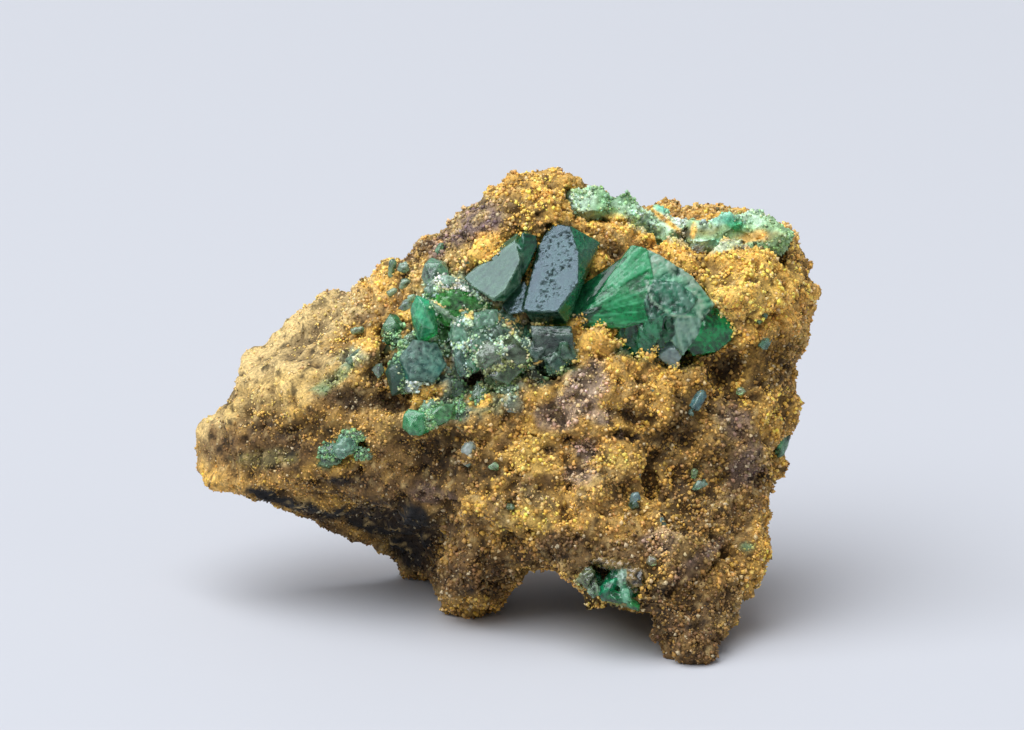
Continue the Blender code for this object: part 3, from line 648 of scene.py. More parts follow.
def mottled_tone(tree, texture, low, high):
    """The painted tone, made lighter and darker by a noise."""
    painted = tree.nodes.new("ShaderNodeVertexColor")
    painted.layer_name = "tone"
    scale = tree.nodes.new("ShaderNodeVectorMath")
    scale.operation = "SCALE"
    tree.links.new(painted.outputs["Color"], scale.inputs[0])
    tree.links.new(ranged(tree, texture.outputs["Fac"], low, high), scale.inputs["Scale"])
    return scale.outputs["Vector"]


def bumped(tree, shader, texture, height):
    bump = tree.nodes.new("ShaderNodeBump")
    bump.inputs["Distance"].default_value = height * MM
    bump.inputs["Strength"].default_value = 0.8
    tree.links.new(texture.outputs["Fac"], bump.inputs["Height"])
    tree.links.new(bump.outputs["Normal"], shader.inputs["Normal"])


def rock_material(name, grain, low, high, rough_low, rough_high, height):
    material = bpy.data.materials.new(name)
    tree, nodes, links, shader = nodes_of(material)
    coordinates = nodes.new("ShaderNodeTexCoord")
    fine = noise_node(tree, coordinates, grain, 4.0, 0.7)
    finer = noise_node(tree, coordinates, grain * 0.6, 3.0, 0.6)
    links.new(mottled_tone(tree, fine, low, high), shader.inputs["Base Color"])
    links.new(ranged(tree, finer.outputs["Fac"], rough_low, rough_high), shader.inputs["Roughness"])
    shader.inputs["Specular IOR Level"].default_value = 0.4
    bumped(tree, shader, finer, height)
    return material


def crystal_material(name, transmission, roughness, absorb, density, grain=0.3, height=0.02, spread=0.25,
                     shine=0.3, tint=(1.0, 1.0, 1.0)):
    """A clear to cloudy crystal: tinted faces outside, absorption inside."""
    material = bpy.data.materials.new(name)
    tree, nodes, links, shader = nodes_of(material)
    coordinates = nodes.new("ShaderNodeTexCoord")
    fine = noise_node(tree, coordinates, grain, 4.0, 0.65)
    finer = noise_node(tree, coordinates, grain * 0.4, 3.0, 0.6)
    links.new(mottled_tone(tree, fine, 1 - spread, 1 + spread), shader.inputs["Base Color"])
    dull = nodes.new("ShaderNodeMapRange")
    dull.inputs["To Min"].default_value = 1.0
    painted = nodes.new("ShaderNodeVertexColor")
    painted.layer_name = "tone"
    links.new(painted.outputs["Alpha"], dull.inputs["Value"])
    links.new(ranged(tree, finer.outputs["Fac"], roughness * 0.6, roughness * 1.4), dull.inputs["To Max"])
    links.new(dull.outputs["Result"], shader.inputs["Roughness"])
    shader.inputs["Transmission Weight"].default_value = transmission
    shader.inputs["IOR"].default_value = 1.77
    shader.inputs["Specular IOR Level"].default_value = shine
    shader.inputs["Specular Tint"].default_value = (*tint, 1.0)
    bumped(tree, shader, finer, height)
    inside = nodes.new("ShaderNodeVolumeAbsorption")
    inside.inputs["Color"].default_value = (*absorb, 1.0)
    inside.inputs["Density"].default_value = density
    links.new(inside.outputs["Volume"], nodes["Material Output"].inputs["Volume"])
    return material


MATERIALS = {
    "rock": rock_material("limonite_rock", 0.17, 0.4, 1.65, 0.7, 0.95, 0.09),
    "druse": rock_material("limonite_druse", 0.2, 0.65, 1.35, 0.4, 0.65, 0.03),
    "dark": crystal_material("dark_olivenite", 0.8, 0.2, (0.05, 0.85, 0.5), 900, 0.35, 0.02, 0.3, 0.55,
                             (0.68, 0.83, 0.98)),
    "block": crystal_material("block_olivenite", 0.6, 0.25, (0.05, 0.75, 0.5), 1000, 0.35, 0.03, 0.3, 0.16),
    "smooth": crystal_material("smooth_olivenite", 0.5, 0.2, (0.1, 0.8, 0.5), 700, 0.5, 0.008, 0.2, 0.36,
                               (0.78, 0.94, 0.97)),
    "fan": crystal_material("fan_olivenite", 0.5, 0.16, (0.03, 0.90, 0.45), 800, 0.3, 0.015, shine=0.08),
    "green": crystal_material("green_olivenite", 0.65, 0.18, (0.06, 0.92, 0.40), 900, 0.3, 0.02, shine=0.12),
    "teal": crystal_material("teal_olivenite", 0.5, 0.35, (0.10, 0.82, 0.62), 1100, 0.3, 0.04, 0.45, 0.18),
    "crust": rock_material("pale_druse", 0.2, 0.65, 1.4, 0.4, 0.65, 0.05),
}

CRYSTAL_NODES = (
    "main_crystal", "left_prism_crystal", "dark_block_crystal", "fan_crystal", "green_cluster",
    "teal_crystal", "lower_left_crystal", "left_edge_crystal", "green_patch", "vein_crust", "cavity_crust",
)


def node_body(name, tone, **finish):
    """A convex CAD crystal, grown back out to its true faces."""
    points, _ = node_skin(name)
    body = Body(points, tone, **finish)
    corners = []
    middle = points.mean(0)
    for corner in body.corners:
        away = unit(np.array(corner) - middle)
        corners.append(np.array(corner) + away * HALF_GAP * 1.4)
    return Body(corners, tone, **finish)


# The fan: where its striae start from, the buried ends of its bodies, and which way the others' striae run.
FAN_APEX = (3.6, 17.1)
ROOTS = ((5.2, 17.4, -1.8), (7.6, 19.4, -1.8), (7.4, 16.0, -1.8))
RIGHT_ROOTS = ((8.4, 19.4, -1.8), (10.4, 18.2, -1.8), (10.4, 15.8, -1.8))
DOWNWARD = (0.3, -0.9, -0.2)
# Its bodies: corners (across, up, how far out), tone, finish.
FAN = (
    # dark wedge at the left, painted dark as shade where the main crystal shadows it
    (((3.3, 17.1, 1.1), (3.5, 18.4, 0.3), (4.6, 19.2, 0.2), (6.9, 20.8, 0.5), (7.0, 19.3, 1.0),
      (5.7, 17.9, 1.45), (4.9, 17.4, 1.5), (4.4, 16.4, 1.1)) + ROOTS,
     (0.012, 0.12, 0.045),
     {"fan_from": FAN_APEX, "streak_height": 0.03, "rough": 0.01, "veil": 0.4}),
    # bright green sheaf
    (((4.3, 17.2, 1.3), (4.8, 16.5, 1.2), (6.5, 16.5, 1.6), (5.9, 19.6, 1.15), (7.1, 21.3, 1.2),
      (8.0, 21.1, 1.35), (8.4, 18.8, 1.8), (8.8, 17.2, 2.0), (6.4, 18.6, 1.6)) + ROOTS,
     (0.008, 0.32, 0.09),
     {"fan_from": FAN_APEX, "streak_height": 0.03, "rough": 0.02, "rim": 0.1, "milky": 0.7,
      "milk": (0.14, 0.74, 0.34), "veil": 0.35}),
    # broad milky plate with the pale rim
    (((7.7, 21.15, 0.9), (8.6, 20.8, 1.1), (9.6, 20.1, 1.2), (10.6, 19.5, 1.25), (11.3, 18.6, 1.3),
      (11.9, 17.85, 1.3), (11.2, 17.1, 1.95), (9.4, 17.2, 2.15), (8.2, 18.0, 2.0),
      (7.8, 19.4, 1.6)) + RIGHT_ROOTS,
     (0.06, 0.34, 0.17),
     {"fan_from": FAN_APEX, "streak_height": 0.02, "rough": 0.035, "rim": 1.0, "milky": 0.85,
      "milk": (0.36, 0.82, 0.50), "veil": 0.4}),
    # dull facet over the plate
    (((8.4, 19.3, 1.8), (9.8, 19.1, 1.8), (10.9, 18.2, 1.8), (10.3, 17.4, 2.12), (8.0, 17.0, 2.05),
      (7.8, 18.0, 1.9)) + RIGHT_ROOTS,
     (0.04, 0.20, 0.11),
     {"streak": (0.3, -0.9, 0.0), "streak_height": 0.06, "rough": 0.06, "milky": 0.6,
      "milk": (0.26, 0.44, 0.34), "veil": 0.5}),
    # striated underside, painted dark as shade on faces that look down
    (((6.6, 16.9, 1.5), (9.3, 17.0, 1.9), (9.7, 16.2, 1.75), (9.0, 15.5, 1.4),
      (7.3, 14.3, 1.1), (6.7, 14.2, 1.0), (6.1, 15.3, 1.2)) + ROOTS,
     (0.006, 0.06, 0.022),
     {"streak": DOWNWARD, "streak_height": 0.12, "rough": 0.05, "milky": 0.35,
      "milk": (0.06, 0.26, 0.12), "veil": 0.6}),
    # ridge down the underside
    (((8.2, 17.3, 1.95), (8.9, 17.4, 2.1), (8.8, 16.0, 2.0), (8.0, 14.7, 1.4), (7.4, 14.9, 1.3),
      (7.6, 16.2, 1.8)) + ROOTS,
     (0.015, 0.13, 0.05),
     {"streak": DOWNWARD, "streak_height": 0.09, "rough": 0.04, "milky": 0.5,
      "milk": (0.12, 0.38, 0.22), "veil": 0.5}),
    # grey facet beside the tip
    (((9.7, 17.0, 2.05), (11.1, 17.15, 1.95), (10.9, 16.2, 1.85), (10.0, 14.9, 1.55),
      (9.3, 15.8, 1.5)) + RIGHT_ROOTS,
     (0.12, 0.32, 0.22),
     {"streak": (0.3, -0.9, 0.1), "streak_height": 0.05, "rough": 0.03, "rim": 0.4, "milky": 0.55,
      "milk": (0.42, 0.62, 0.52), "veil": 0.3}),
    # small pale facet under it
    (((8.6, 14.9, 1.15), (9.3, 15.3, 1.35), (10.1, 15.2, 1.45), (9.6, 14.1, 0.9),
      (9.1, 14.4, 0.8)) + RIGHT_ROOTS,
     (0.34, 0.46, 0.46),
     {"rough": 0.03, "rim": 0.2}),
    # glassy tip
    (((10.9, 17.85, 1.3), (12.0, 17.65, 1.1), (13.15, 16.5, 0.4), (12.8, 15.8, 0.5), (12.0, 15.15, 0.95),
      (10.6, 14.9, 1.3), (10.3, 15.3, 1.5), (11.3, 16.6, 2.0), (11.0, 16.8, -1.6), (12.0, 16.2, -1.6),
      (11.2, 15.6, -1.6)),
     (0.003, 0.28, 0.07),
     {"rough": 0.008, "veil": 0.5, "streak": (0.6, -0.6, 0.1), "streak_height": 0.02}),
)


def fan_bodies(depth):
    """The fan's bodies, in front of a surface at a depth."""
    bodies = []
    for corners, tone, finish in FAN:
        bodies.append(Body([(across, up, depth - out) for across, up, out in corners], tone, **finish))
    return bodies


# The cluster's crystals: across, up, out, half sizes (along, over, deep), turn, tone, finish.
CLUSTER = (
    (-4.15, 19.6, 0.1, 0.72, 0.8, 0.9, -10, (0.26, 0.46, 0.32), "glassy"),
    (-4.3, 18.8, 0.5, 0.5, 0.32, 0.5, 25, (0.60, 0.86, 0.68), "crusty"),
    (-3.6, 19.15, 0.6, 0.6, 0.3, 0.5, 8, (0.66, 0.90, 0.74), "crusty"),
    (-2.8, 19.05, 0.65, 0.55, 0.28, 0.5, -12, (0.60, 0.86, 0.68), "crusty"),
    (-2.1, 18.7, 0.65, 0.5, 0.25, 0.5, -30, (0.50, 0.80, 0.60), "crusty"),
    (-1.5, 18.2, 0.5, 0.4, 0.24, 0.4, -50, (0.60, 0.84, 0.66), "crusty"),
    (-3.7, 17.5, 0.75, 0.9, 0.14, 0.3, -35, (0.56, 0.74, 0.50), "crusty"),
    (-2.9, 17.8, 0.4, 1.75, 1.0, 1.0, -14, (0.05, 0.42, 0.05), "folded"),
    (-4.75, 17.0, 0.35, 0.78, 1.2, 0.9, 8, (0.04, 0.58, 0.28), "glassy"),
    (-3.75, 16.0, 0.3, 0.95, 1.2, 0.9, -8, (0.14, 0.34, 0.09), "glassy"),
    (-2.4, 16.3, 0.2, 0.85, 1.1, 0.7, -10, (0.24, 0.60, 0.38), "crusty"),
    (-1.5, 16.9, 0.15, 1.0, 0.6, 0.6, 20, (0.30, 0.62, 0.42), "crusty"),
    (-0.3, 17.0, 0.0, 0.9, 0.5, 0.6, -10, (0.10, 0.30, 0.16), "crusty"),
    (-1.6, 15.7, 0.15, 0.7, 0.6, 0.6, 0, (0.26, 0.52, 0.36), "crusty"),
    (-5.6, 15.6, 0.0, 0.8, 0.5, 0.6, 40, (0.30, 0.34, 0.18), "crusty"),
    (-2.65, 14.7, 0.3, 0.42, 0.95, 0.7, 12, (0.22, 0.38, 0.33), "glassy"),
    (-1.95, 15.1, 0.2, 0.42, 0.42, 0.5, 0, (0.11, 0.32, 0.17), "glassy"),
    (-2.0, 14.35, 0.2, 0.42, 0.4, 0.5, 0, (0.20, 0.46, 0.30), "glassy"),
    (-0.7, 16.1, 0.2, 1.2, 0.95, 0.8, -15, (0.24, 0.44, 0.30), "crusty"),
    (0.35, 16.4, 0.1, 0.6, 0.8, 0.7, 10, (0.04, 0.22, 0.11), "glassy"),
    (0.9, 15.3, 0.1, 0.7, 0.6, 0.6, -20, (0.22, 0.42, 0.32), "crusty"),
    (-0.9, 14.9, 0.3, 0.85, 0.8, 0.8, 10, (0.36, 0.40, 0.28), "crusty"),
    (0.2, 15.0, 0.35, 1.1, 0.95, 0.9, -10, (0.15, 0.20, 0.10), "glassy"),
    (-0.3, 13.9, 0.3, 1.05, 0.9, 0.9, 10, (0.12, 0.17, 0.08), "glassy"),
    (0.1, 12.85, 0.1, 0.75, 0.6, 0.6, -10, (0.38, 0.55, 0.34), "crusty"),
    (-3.3, 12.7, 0.1, 0.95, 0.8, 0.7, 30, (0.28, 0.42, 0.30), "crusty"),
    (-1.5, 12.6, 0.0, 0.5, 0.75, 0.6, 0, (0.14, 0.22, 0.12), "crusty"),
    (-2.75, 11.6, 0.0, 0.4, 0.8, 0.5, 10, (0.20, 0.34, 0.22), "crusty"),
)
FINISHES = {
    "glassy": {"rough": 0.02, "rim": 0.4, "veil": 0.5, "milky": 0.12, "milk": (0.40, 0.72, 0.48)},
    "crusty": {"rough": 0.12, "rim": 0.6, "veil": 0.4, "milky": 0.5, "milk": (0.55, 0.78, 0.58)},
    "clear": {"rough": 0.02, "veil": 0.7},
    "dull": {"rough": 0.14, "veil": 0.9},
    "folded": {"rough": 0.07, "rim": 0.3, "veil": 0.9, "streak": (1.0, -0.5, 0.3), "streak_height": 0.06,
               "milky": 0.2, "milk": (0.26, 0.52, 0.10)},
    "striated": {"rough": 0.05, "rim": 0.25, "streak": (1.0, -0.12, 0.1), "streak_height": 0.09, "veil": 0.4},
}
DARK_BLOCK = (
    (1.7, 15.1, 0.0, 0.6, 0.55, 0.6, -30, (0.08, 0.16, 0.12), "striated"),
    (3.3, 15.2, 0.1, 0.6, 0.8, 0.8, 30, (0.02, 0.14, 0.06), "glassy"),
    (2.7, 14.5, 0.15, 0.6, 0.6, 0.6, 0, (0.04, 0.14, 0.09), "glassy"),
    (2.0, 14.3, 0.1, 0.5, 0.4, 0.5, -30, (0.12, 0.18, 0.20), "striated"),
)
LOWER_LEFT = (
    (-5.1, 11.15, 0.25, 0.8, 0.75, 0.8, 0, (0.01, 0.48, 0.14), "glassy"),
    (-4.0, 11.5, 0.2, 1.15, 0.6, 0.7, 25, (0.10, 0.36, 0.11), "glassy"),
    (-4.5, 12.0, 0.1, 0.6, 0.4, 0.5, 20, (0.30, 0.50, 0.34), "crusty"),
)
LEFT_EDGE = (
    (-6.6, 16.4, 0.2, 0.6, 0.75, 0.6, 0, (0.05, 0.26, 0.08), "glassy"),
    (-6.4, 15.8, 0.1, 0.45, 0.45, 0.5, 0, (0.10, 0.30, 0.12), "glassy"),
)
GREEN_PATCH = (
    (-9.3, 9.7, 0.1, 0.75, 0.6, 0.5, 20, (0.22, 0.55, 0.38), "crusty"),
    (-10.2, 9.4, 0.0, 0.7, 0.5, 0.5, 15, (0.04, 0.16, 0.08), "glassy"),
    (-8.7, 10.4, 0.0, 0.8, 0.35, 0.4, 10, (0.20, 0.32, 0.14), "crusty"),
    (-10.2, 8.8, 0.0, 0.7, 0.25, 0.3, 10, (0.14, 0.30, 0.08), "glassy"),
    (-8.3, 9.3, 0.0, 0.5, 0.4, 0.4, 0, (0.30, 0.42, 0.22), "crusty"),
)
# The wedges and lumps at the mouth of the hollow under the front edge, in the cluster's terms.
CAVITY = (
    (5.75, 1.7, 0.1, 0.8, 0.42, 0.6, 50, (0.01, 0.30, 0.13), "clear"),
    (6.2, 1.2, 0.15, 0.7, 0.35, 0.5, -10, (0.01, 0.24, 0.08), "clear"),
    (6.05, 2.4, -0.1, 0.3, 0.6, 0.5, -10, (0.01, 0.14, 0.06), "clear"),
    (6.5, 2.3, 0.15, 0.24, 0.55, 0.4, -10, (0.60, 0.82, 0.70), "crusty"),
    (6.7, 1.35, 0.25, 0.28, 0.5, 0.4, 15, (0.20, 0.60, 0.38), "glassy"),
    (7.25, 2.2, 0.1, 0.5, 0.7, 0.6, 20, (0.42, 0.27, 0.10), "dull"),
    (7.1, 0.8, 0.15, 0.45, 0.25, 0.4, -30, (0.03, 0.20, 0.06), "clear"),
    (4.6, 2.3, 0.1, 0.5, 0.6, 0.6, 0, (0.24, 0.26, 0.13), "dull"),
    (4.9, 1.6, 0.2, 0.3, 0.35, 0.5, 0, (0.34, 0.42, 0.30), "dull"),
    (5.9, 3.1, 0.05, 1.2, 0.3, 0.6, -5, (0.36, 0.22, 0.07), "dull"),
)
# Small single crystals: across, up, half length, half width, turn, tone.
SMALL = (
    (10.95, 12.4, 0.62, 0.36, 60, (0.12, 0.30, 0.32)), (10.5, 11.75, 0.4, 0.26, 70, (0.35, 0.62, 0.50)),
    (11.0, 7.55, 0.5, 0.25, 25, (0.40, 0.62, 0.48)), (10.7, 8.2, 0.3, 0.2, 80, (0.30, 0.42, 0.16)),
    # The blue-grey one at 7.3, 6.85 is a painted glint on the dark crystal below it.
    (7.3, 6.85, 0.32, 0.3, 20, (0.22, 0.34, 0.42)), (7.2, 6.4, 0.3, 0.25, 0, (0.04, 0.12, 0.06)),
    (8.7, 5.5, 0.28, 0.26, 45, (0.45, 0.66, 0.58)), (8.8, 5.25, 0.3, 0.22, 0, (0.05, 0.18, 0.10)),
    (0.35, 12.05, 0.45, 0.34, 30, (0.55, 0.72, 0.74)), (-2.2, 9.6, 0.45, 0.42, 60, (0.62, 0.68, 0.64)),
    (-2.2, 8.9, 0.4, 0.3, 20, (0.25, 0.36, 0.26)), (-0.8, 8.6, 0.3, 0.22, 0, (0.36, 0.50, 0.26)),
    (0.2, 6.3, 0.25, 0.2, 0, (0.34, 0.46, 0.24)), (5.5, 7.5, 0.2, 0.14, 0, (0.24, 0.46, 0.26)),
    (8.4, 12.95, 0.3, 0.2, 0, (0.40, 0.58, 0.42)), (14.8, 15.75, 0.42, 0.34, 60, (0.16, 0.42, 0.26)),
    (13.4, 12.9, 0.3, 0.22, 30, (0.50, 0.56, 0.30)), (15.9, 9.7, 0.7, 0.3, 65, (0.24, 0.52, 0.34)),
    (-6.65, 20.0, 0.6, 0.26, 85, (0.34, 0.60, 0.40)), (-5.95, 20.0, 0.35, 0.3, 20, (0.55, 0.68, 0.56)),
    (-5.9, 19.05, 0.42, 0.3, 10, (0.48, 0.66, 0.46)), (-6.6, 18.6, 0.36, 0.24, 30, (0.44, 0.60, 0.36)),
    (-5.8, 17.8, 0.42, 0.36, 0, (0.36, 0.46, 0.44)), (-5.5, 18.25, 0.3, 0.2, 30, (0.48, 0.68, 0.52)),
    (-8.7, 14.9, 0.6, 0.3, 40, (0.36, 0.50, 0.34)), (-7.4, 14.1, 0.4, 0.34, 80, (0.60, 0.66, 0.60)),
    (-9.0, 14.0, 0.4, 0.26, 20, (0.26, 0.44, 0.30)), (-8.6, 16.4, 0.4, 0.22, 10, (0.44, 0.52, 0.30)),
    (-3.9, 21.0, 0.5, 0.22, 70, (0.22, 0.42, 0.24)), (-2.1, 20.6, 0.7, 0.24, 55, (0.30, 0.40, 0.28)),
    (7.4, 8.1, 0.25, 0.2, 30, (0.50, 0.56, 0.50)), (13.7, 3.9, 0.3, 0.24, 0, (0.30, 0.42, 0.22)),
    (1.0, 16.9, 0.3, 0.2, 20, (0.40, 0.22, 0.06)), (14.6, 17.1, 0.4, 0.22, 40, (0.10, 0.26, 0.08)),
    (8.2, 3.2, 0.3, 0.3, 10, (0.34, 0.20, 0.10)), (2.7, 13.9, 0.35, 0.25, 10, (0.05, 0.08, 0.06)),
    (3.7, 15.4, 0.35, 0.2, 70, (0.40, 0.50, 0.44)), (1.9, 14.4, 0.4, 0.25, -10, (0.12, 0.18, 0.16)),
)


def lumps(soundings, table, seed, sides=13, surface=None):
    bodies = []
    for i, (across, up, out, along, over, deep, turn, tone, finish) in enumerate(table):
        bodies.append(lump(soundings, across, up, out, along, over, deep, turn, tone, seed + i, sides,
                           surface, **FINISHES[finish]))
    return bodies


# Which way the main crystal's large face looks, and the corners of its toe, just under that face.
MAIN_FACE = (-0.27, 0.78, -0.55)
TOE = ((-0.35, 17.8), (0.95, 19.3), (1.7, 17.6), (0.1, 17.25))
TOE_BELOW = 0.12
FLUSH_DEPTH = 2.0
# Corners of some single bodies: across, up, and how far behind the surface that stands there.
LEFT_SIDE = (
    (0.85, 22.0, 0.5), (1.65, 21.8, 0.7), (1.7, 21.3, 0.7), (1.05, 19.7, 0.6), (0.3, 18.5, 0.6),
    (-0.45, 17.95, 0.5), (0.7, 19.3, 0.35), (0.95, 21.4, 0.35), (0.8, 21.8, 2.2), (1.6, 21.4, 2.2),
    (0.2, 18.4, 2.2), (-0.2, 18.4, 2.2),
)
BLOCK_FRONT = (
    (1.3, 16.6, 0.2), (3.65, 16.65, 0.25), (3.7, 16.2, -0.15), (1.4, 16.1, -0.15), (3.8, 15.2, 0.1),
    (3.2, 14.4, 0.35), (2.35, 14.4, 0.35), (1.55, 15.5, 0.05), (1.4, 16.4, 1.8), (3.6, 16.4, 1.8),
    (3.2, 14.8, 1.8), (2.3, 14.8, 1.8),
)


def placed(corners, surface, tone, **finish):
    return Body([(across, up, surface + deep) for across, up, deep in corners], tone, **finish)


def flush(body, way, places, below, tone, **finish):
    """A body whose front lies just below the face of another that looks one way."""
    face = (body.normals @ way).argmax()
    outward, reach = body.normals[face], body.reaches[face] - below
    front = []
    for across, up in places:
        front.append((across, up, (reach - outward[0] * across - outward[1] * up) / outward[2]))
    return Body(front + [(across, up, behind + FLUSH_DEPTH) for across, up, behind in front], tone, **finish)


def crystal_groups(soundings):
    """Every crystal or group: its bodies, look, slot and the CAD node it stands in for."""
    # Painted light and shade on the main crystal: its right side bright emerald, its downward side darker
    # green.
    side_light_and_shade = (((1.0, 0.0, -0.2), (0.01, 0.55, 0.18)), ((0.0, -1.0, -0.1), (0.01, 0.12, 0.05)))
    main = [node_body("main_crystal", (0.03, 0.16, 0.085), rough=0.02, rim=0.3, etch=0.06, veil=0.3,
                      sides=side_light_and_shade)]
    main.append(flush(main[0], MAIN_FACE, TOE, TOE_BELOW, (0.05, 0.16, 0.10), rough=0.02, rim=0.4,
                      etch=0.06, veil=0.3))
    # The left prism's right side is painted darker green as shade.
    left = node_body("left_prism_crystal", (0.07, 0.16, 0.08), streak=(0.7, 0.7, 0.1), streak_height=0.004,
                     rough=0.01, rim=0.3, veil=0.2, sides=(((1.0, -0.1, -0.1), (0.01, 0.12, 0.04)),))
    left = [left, placed(LEFT_SIDE, soundings.behind(0.4, 20.2), (0.008, 0.12, 0.04), rough=0.01, veil=0.6)]
    block = [placed(BLOCK_FRONT, soundings.behind(2.5, 15.6), (0.03, 0.08, 0.055), **FINISHES["striated"])]
    block += lumps(soundings, DARK_BLOCK, 110)
    fan_front = node_skin("fan_crystal")[0][:, 2].min() - HALF_GAP
    fan = fan_bodies(fan_front + 2.1)
    teal_behind = soundings.behind(-5.1, 14.3)
    teal = [
        prism((-5.0, 14.35, teal_behind + 0.7), (0.25, 0.35, -1.0), 1.0, 1.4, 6, 0.12, 0.3,
              (0.02, 0.15, 0.11), rough=0.03, rim=0.3, veil=0.5),
        # Dark green lump at the prism's left: a painted shadow beside it.
        lump(soundings, -6.1, 13.95, 0.1, 0.75, 1.1, 0.8, -10, (0.04, 0.13, 0.08), 61, rough=0.02),
        lump(soundings, -5.4, 13.1, 0.15, 0.42, 0.34, 0.5, 0, (0.42, 0.52, 0.50), 62, rough=0.03),
    ]
    cluster = lumps(soundings, CLUSTER, 20)
    lower_left = lumps(soundings, LOWER_LEFT, 70)
    left_edge = lumps(soundings, LEFT_EDGE, 80)
    patch = lumps(soundings, GREEN_PATCH, 90)
    return {
        "main_crystal_faces": (main, "dark", "olivenite_dark", "main_crystal"),
        "left_prism_faces": (left, "smooth", "olivenite_dark", "left_prism_crystal"),
        "dark_block_faces": (block, "block", "olivenite_dark", "dark_block_crystal"),
        "fan_sheaves": (fan, "fan", "olivenite_fan", "fan_crystal"),
        "cluster_crystals": (cluster, "green", "olivenite_green", "green_cluster"),
        "teal_prism": (teal, "teal", "olivenite_teal", "teal_crystal"),
        "lower_left_crystals": (lower_left, "green", "olivenite_green", "lower_left_crystal"),
        "left_edge_crystals": (left_edge, "green", "olivenite_green", "left_edge_crystal"),
        "green_patch_crystals": (patch, "green", "olivenite_green", "green_patch"),
    }


# Grains on the crystals of some pieces: how many, and the patches of the tones they take.
CRYSTAL_GRAINS = {
    "main_crystal_faces": 250, "left_prism_faces": 400, "dark_block_faces": 350, "fan_sheaves": 500,
    "cluster_crystals": 4200, "teal_prism": 500, "lower_left_crystals": 350, "left_edge_crystals": 200,
    "green_patch_crystals": 300,
}
GRAIN_PATCHES = (
    ("orange", 1.5, 20.5, 12.0, 5.0, 0, 1.0), ("yellow", 8.0, 15.6, 6.0, 1.8, 0, 1.0),
    ("mint", -3.4, 17.0, 3.4, 3.0, 0, 1.0), ("mint", -1.2, 15.6, 2.6, 2.4, 0, 0.9),
    ("white", -3.4, 19.2, 2.0, 0.35, -14, 0.9), ("white", -3.3, 17.2, 0.9, 0.3, -45, 0.7),
    ("white", -1.3, 15.0, 0.9, 0.35, -45, 0.9), ("yellow", -2.2, 17.3, 0.9, 0.3, -20, 0.8),
    ("olive", -0.4, 13.8, 1.6, 1.2, 0, 0.9), ("white", -5.2, 13.2, 0.8, 0.4, 0, 0.7),
    ("orange", -3.7, 17.6, 0.6, 0.2, -30, 0.8), ("orange", 0.2, 17.0, 1.2, 0.3, 0, 0.8),
    ("green_stain", -3.2, 12.2, 1.6, 1.2, 0, 0.9), ("orange", -4.4, 12.7, 1.0, 0.4, 25, 0.9),
    ("mint", 0.2, 12.6, 0.9, 0.6, 0, 0.9), ("orange", 2.0, 15.0, 0.6, 0.4, 0, 0.9),
    ("orange", -1.4, 21.1, 1.6, 0.8, 35, 1.0), ("green_stain", -6.4, 16.2, 1.0, 1.0, 0, 0.8),
)


def place_crystals(groups, soundings, rock):
    """Lay out the crystal pieces, with grains where they meet each other or the rock."""
    ground = KDTree(len(rock[0]))
    for i, point in enumerate(rock[0]):
        ground.insert(point, i)
    ground.balance()
    rng = np.random.default_rng(31)
    parts = []
    for i, (name, (bodies, look, slot, node)) in enumerate(groups.items()):
        skin, quads, tones, seam = finished(bodies, CRYSTAL_GRID, 5.0 + 3 * i)
        new_piece(name, skin, quads, tones, slot, MATERIALS[look], (node,))
        centre = skin[quads].mean(1)
        seen = np.array([ground.find(point)[2] for point in centre])
        near = smooth_step(0.5, 0.1, seen)
        if slot in ("olivenite_green", "olivenite_teal"):
            near = np.maximum(near, smooth_step(0.35, 0.05, seam[quads].mean(1)))
        clumps = smooth_step(-0.15, 0.3, field(centre, 0.7, 97))
        outward = normals_of(skin, quads)
        facing = smooth_step(-0.2, 0.3, -outward[quads].mean(1)[:, 2])
        weight = near * (0.15 + clumps) * facing
        base = np.tile(np.array(TONES["green_stain"]), (len(skin), 1))
        grain_tones = patchy(skin, GRAIN_PATCHES, base, 8)
        count = CRYSTAL_GRAINS[name]
        parts.append(scattered(rng, count, 0.04, 0.15, skin, quads, outward, weight, grain_tones))
    new_piece("crystal_grains", *joined(parts), "pale_crust", MATERIALS["druse"], smooth=False)
    make_cavity_crystals(soundings)
    make_small_crystals(soundings)


def make_cavity_crystals(soundings):
    """Dark green crystals that line the hollow under the front edge."""
    rng = np.random.default_rng(44)
    points, _ = node_skin("cavity_crust")
    bodies = []
    for i in range(14):
        start = points[rng.integers(len(points))]
        axis = unit(rng.normal(size=3) * (1, 1, 0.5) + (0, 0.2, -0.9))
        tone = ("emerald", "deep_green", (0.03, 0.26, 0.12))[i % 3]
        bodies.append(prism(start, axis, rng.uniform(0.45, 0.8), rng.uniform(0.22, 0.42), 5, 0.2,
                            rng.uniform(), tone, rough=0.008, rim=0.2))
    brink = soundings.behind(7.9, 2.2) + 0.25
    bodies += lumps(soundings, CAVITY, 130, 11, brink)
    skin, quads, tones, _ = finished(bodies, CRYSTAL_GRID, 50.0)
    new_piece("cavity_crystals", skin, quads, tones, "olivenite_dark", MATERIALS["green"], ("cavity_crust",))


def make_small_crystals(soundings):
    bodies = []
    rng = np.random.default_rng(9)
    for i, (across, up, length, width, turn, tone) in enumerate(SMALL):
        if i % 3:
            bodies.append(lump(soundings, across, up, width * 0.5, length, width, width, turn, tone, 200 + i,
                               10, **FINISHES["glassy"]))
            continue
        angle = math.radians(turn)
        behind = soundings.behind(across, up) + width * 0.45
        axis = (math.cos(angle), math.sin(angle), rng.uniform(-0.6, 0.2))
        bodies.append(prism((across, up, behind), axis, length, width, 5 + i % 2, width * 0.6, rng.uniform(),
                            tone, **FINISHES["glassy"]))
    skin, quads, tones, _ = finished(bodies, CRYSTAL_GRID, 60.0)
    new_piece("small_crystals", skin, quads, tones, "olivenite_green", MATERIALS["green"])


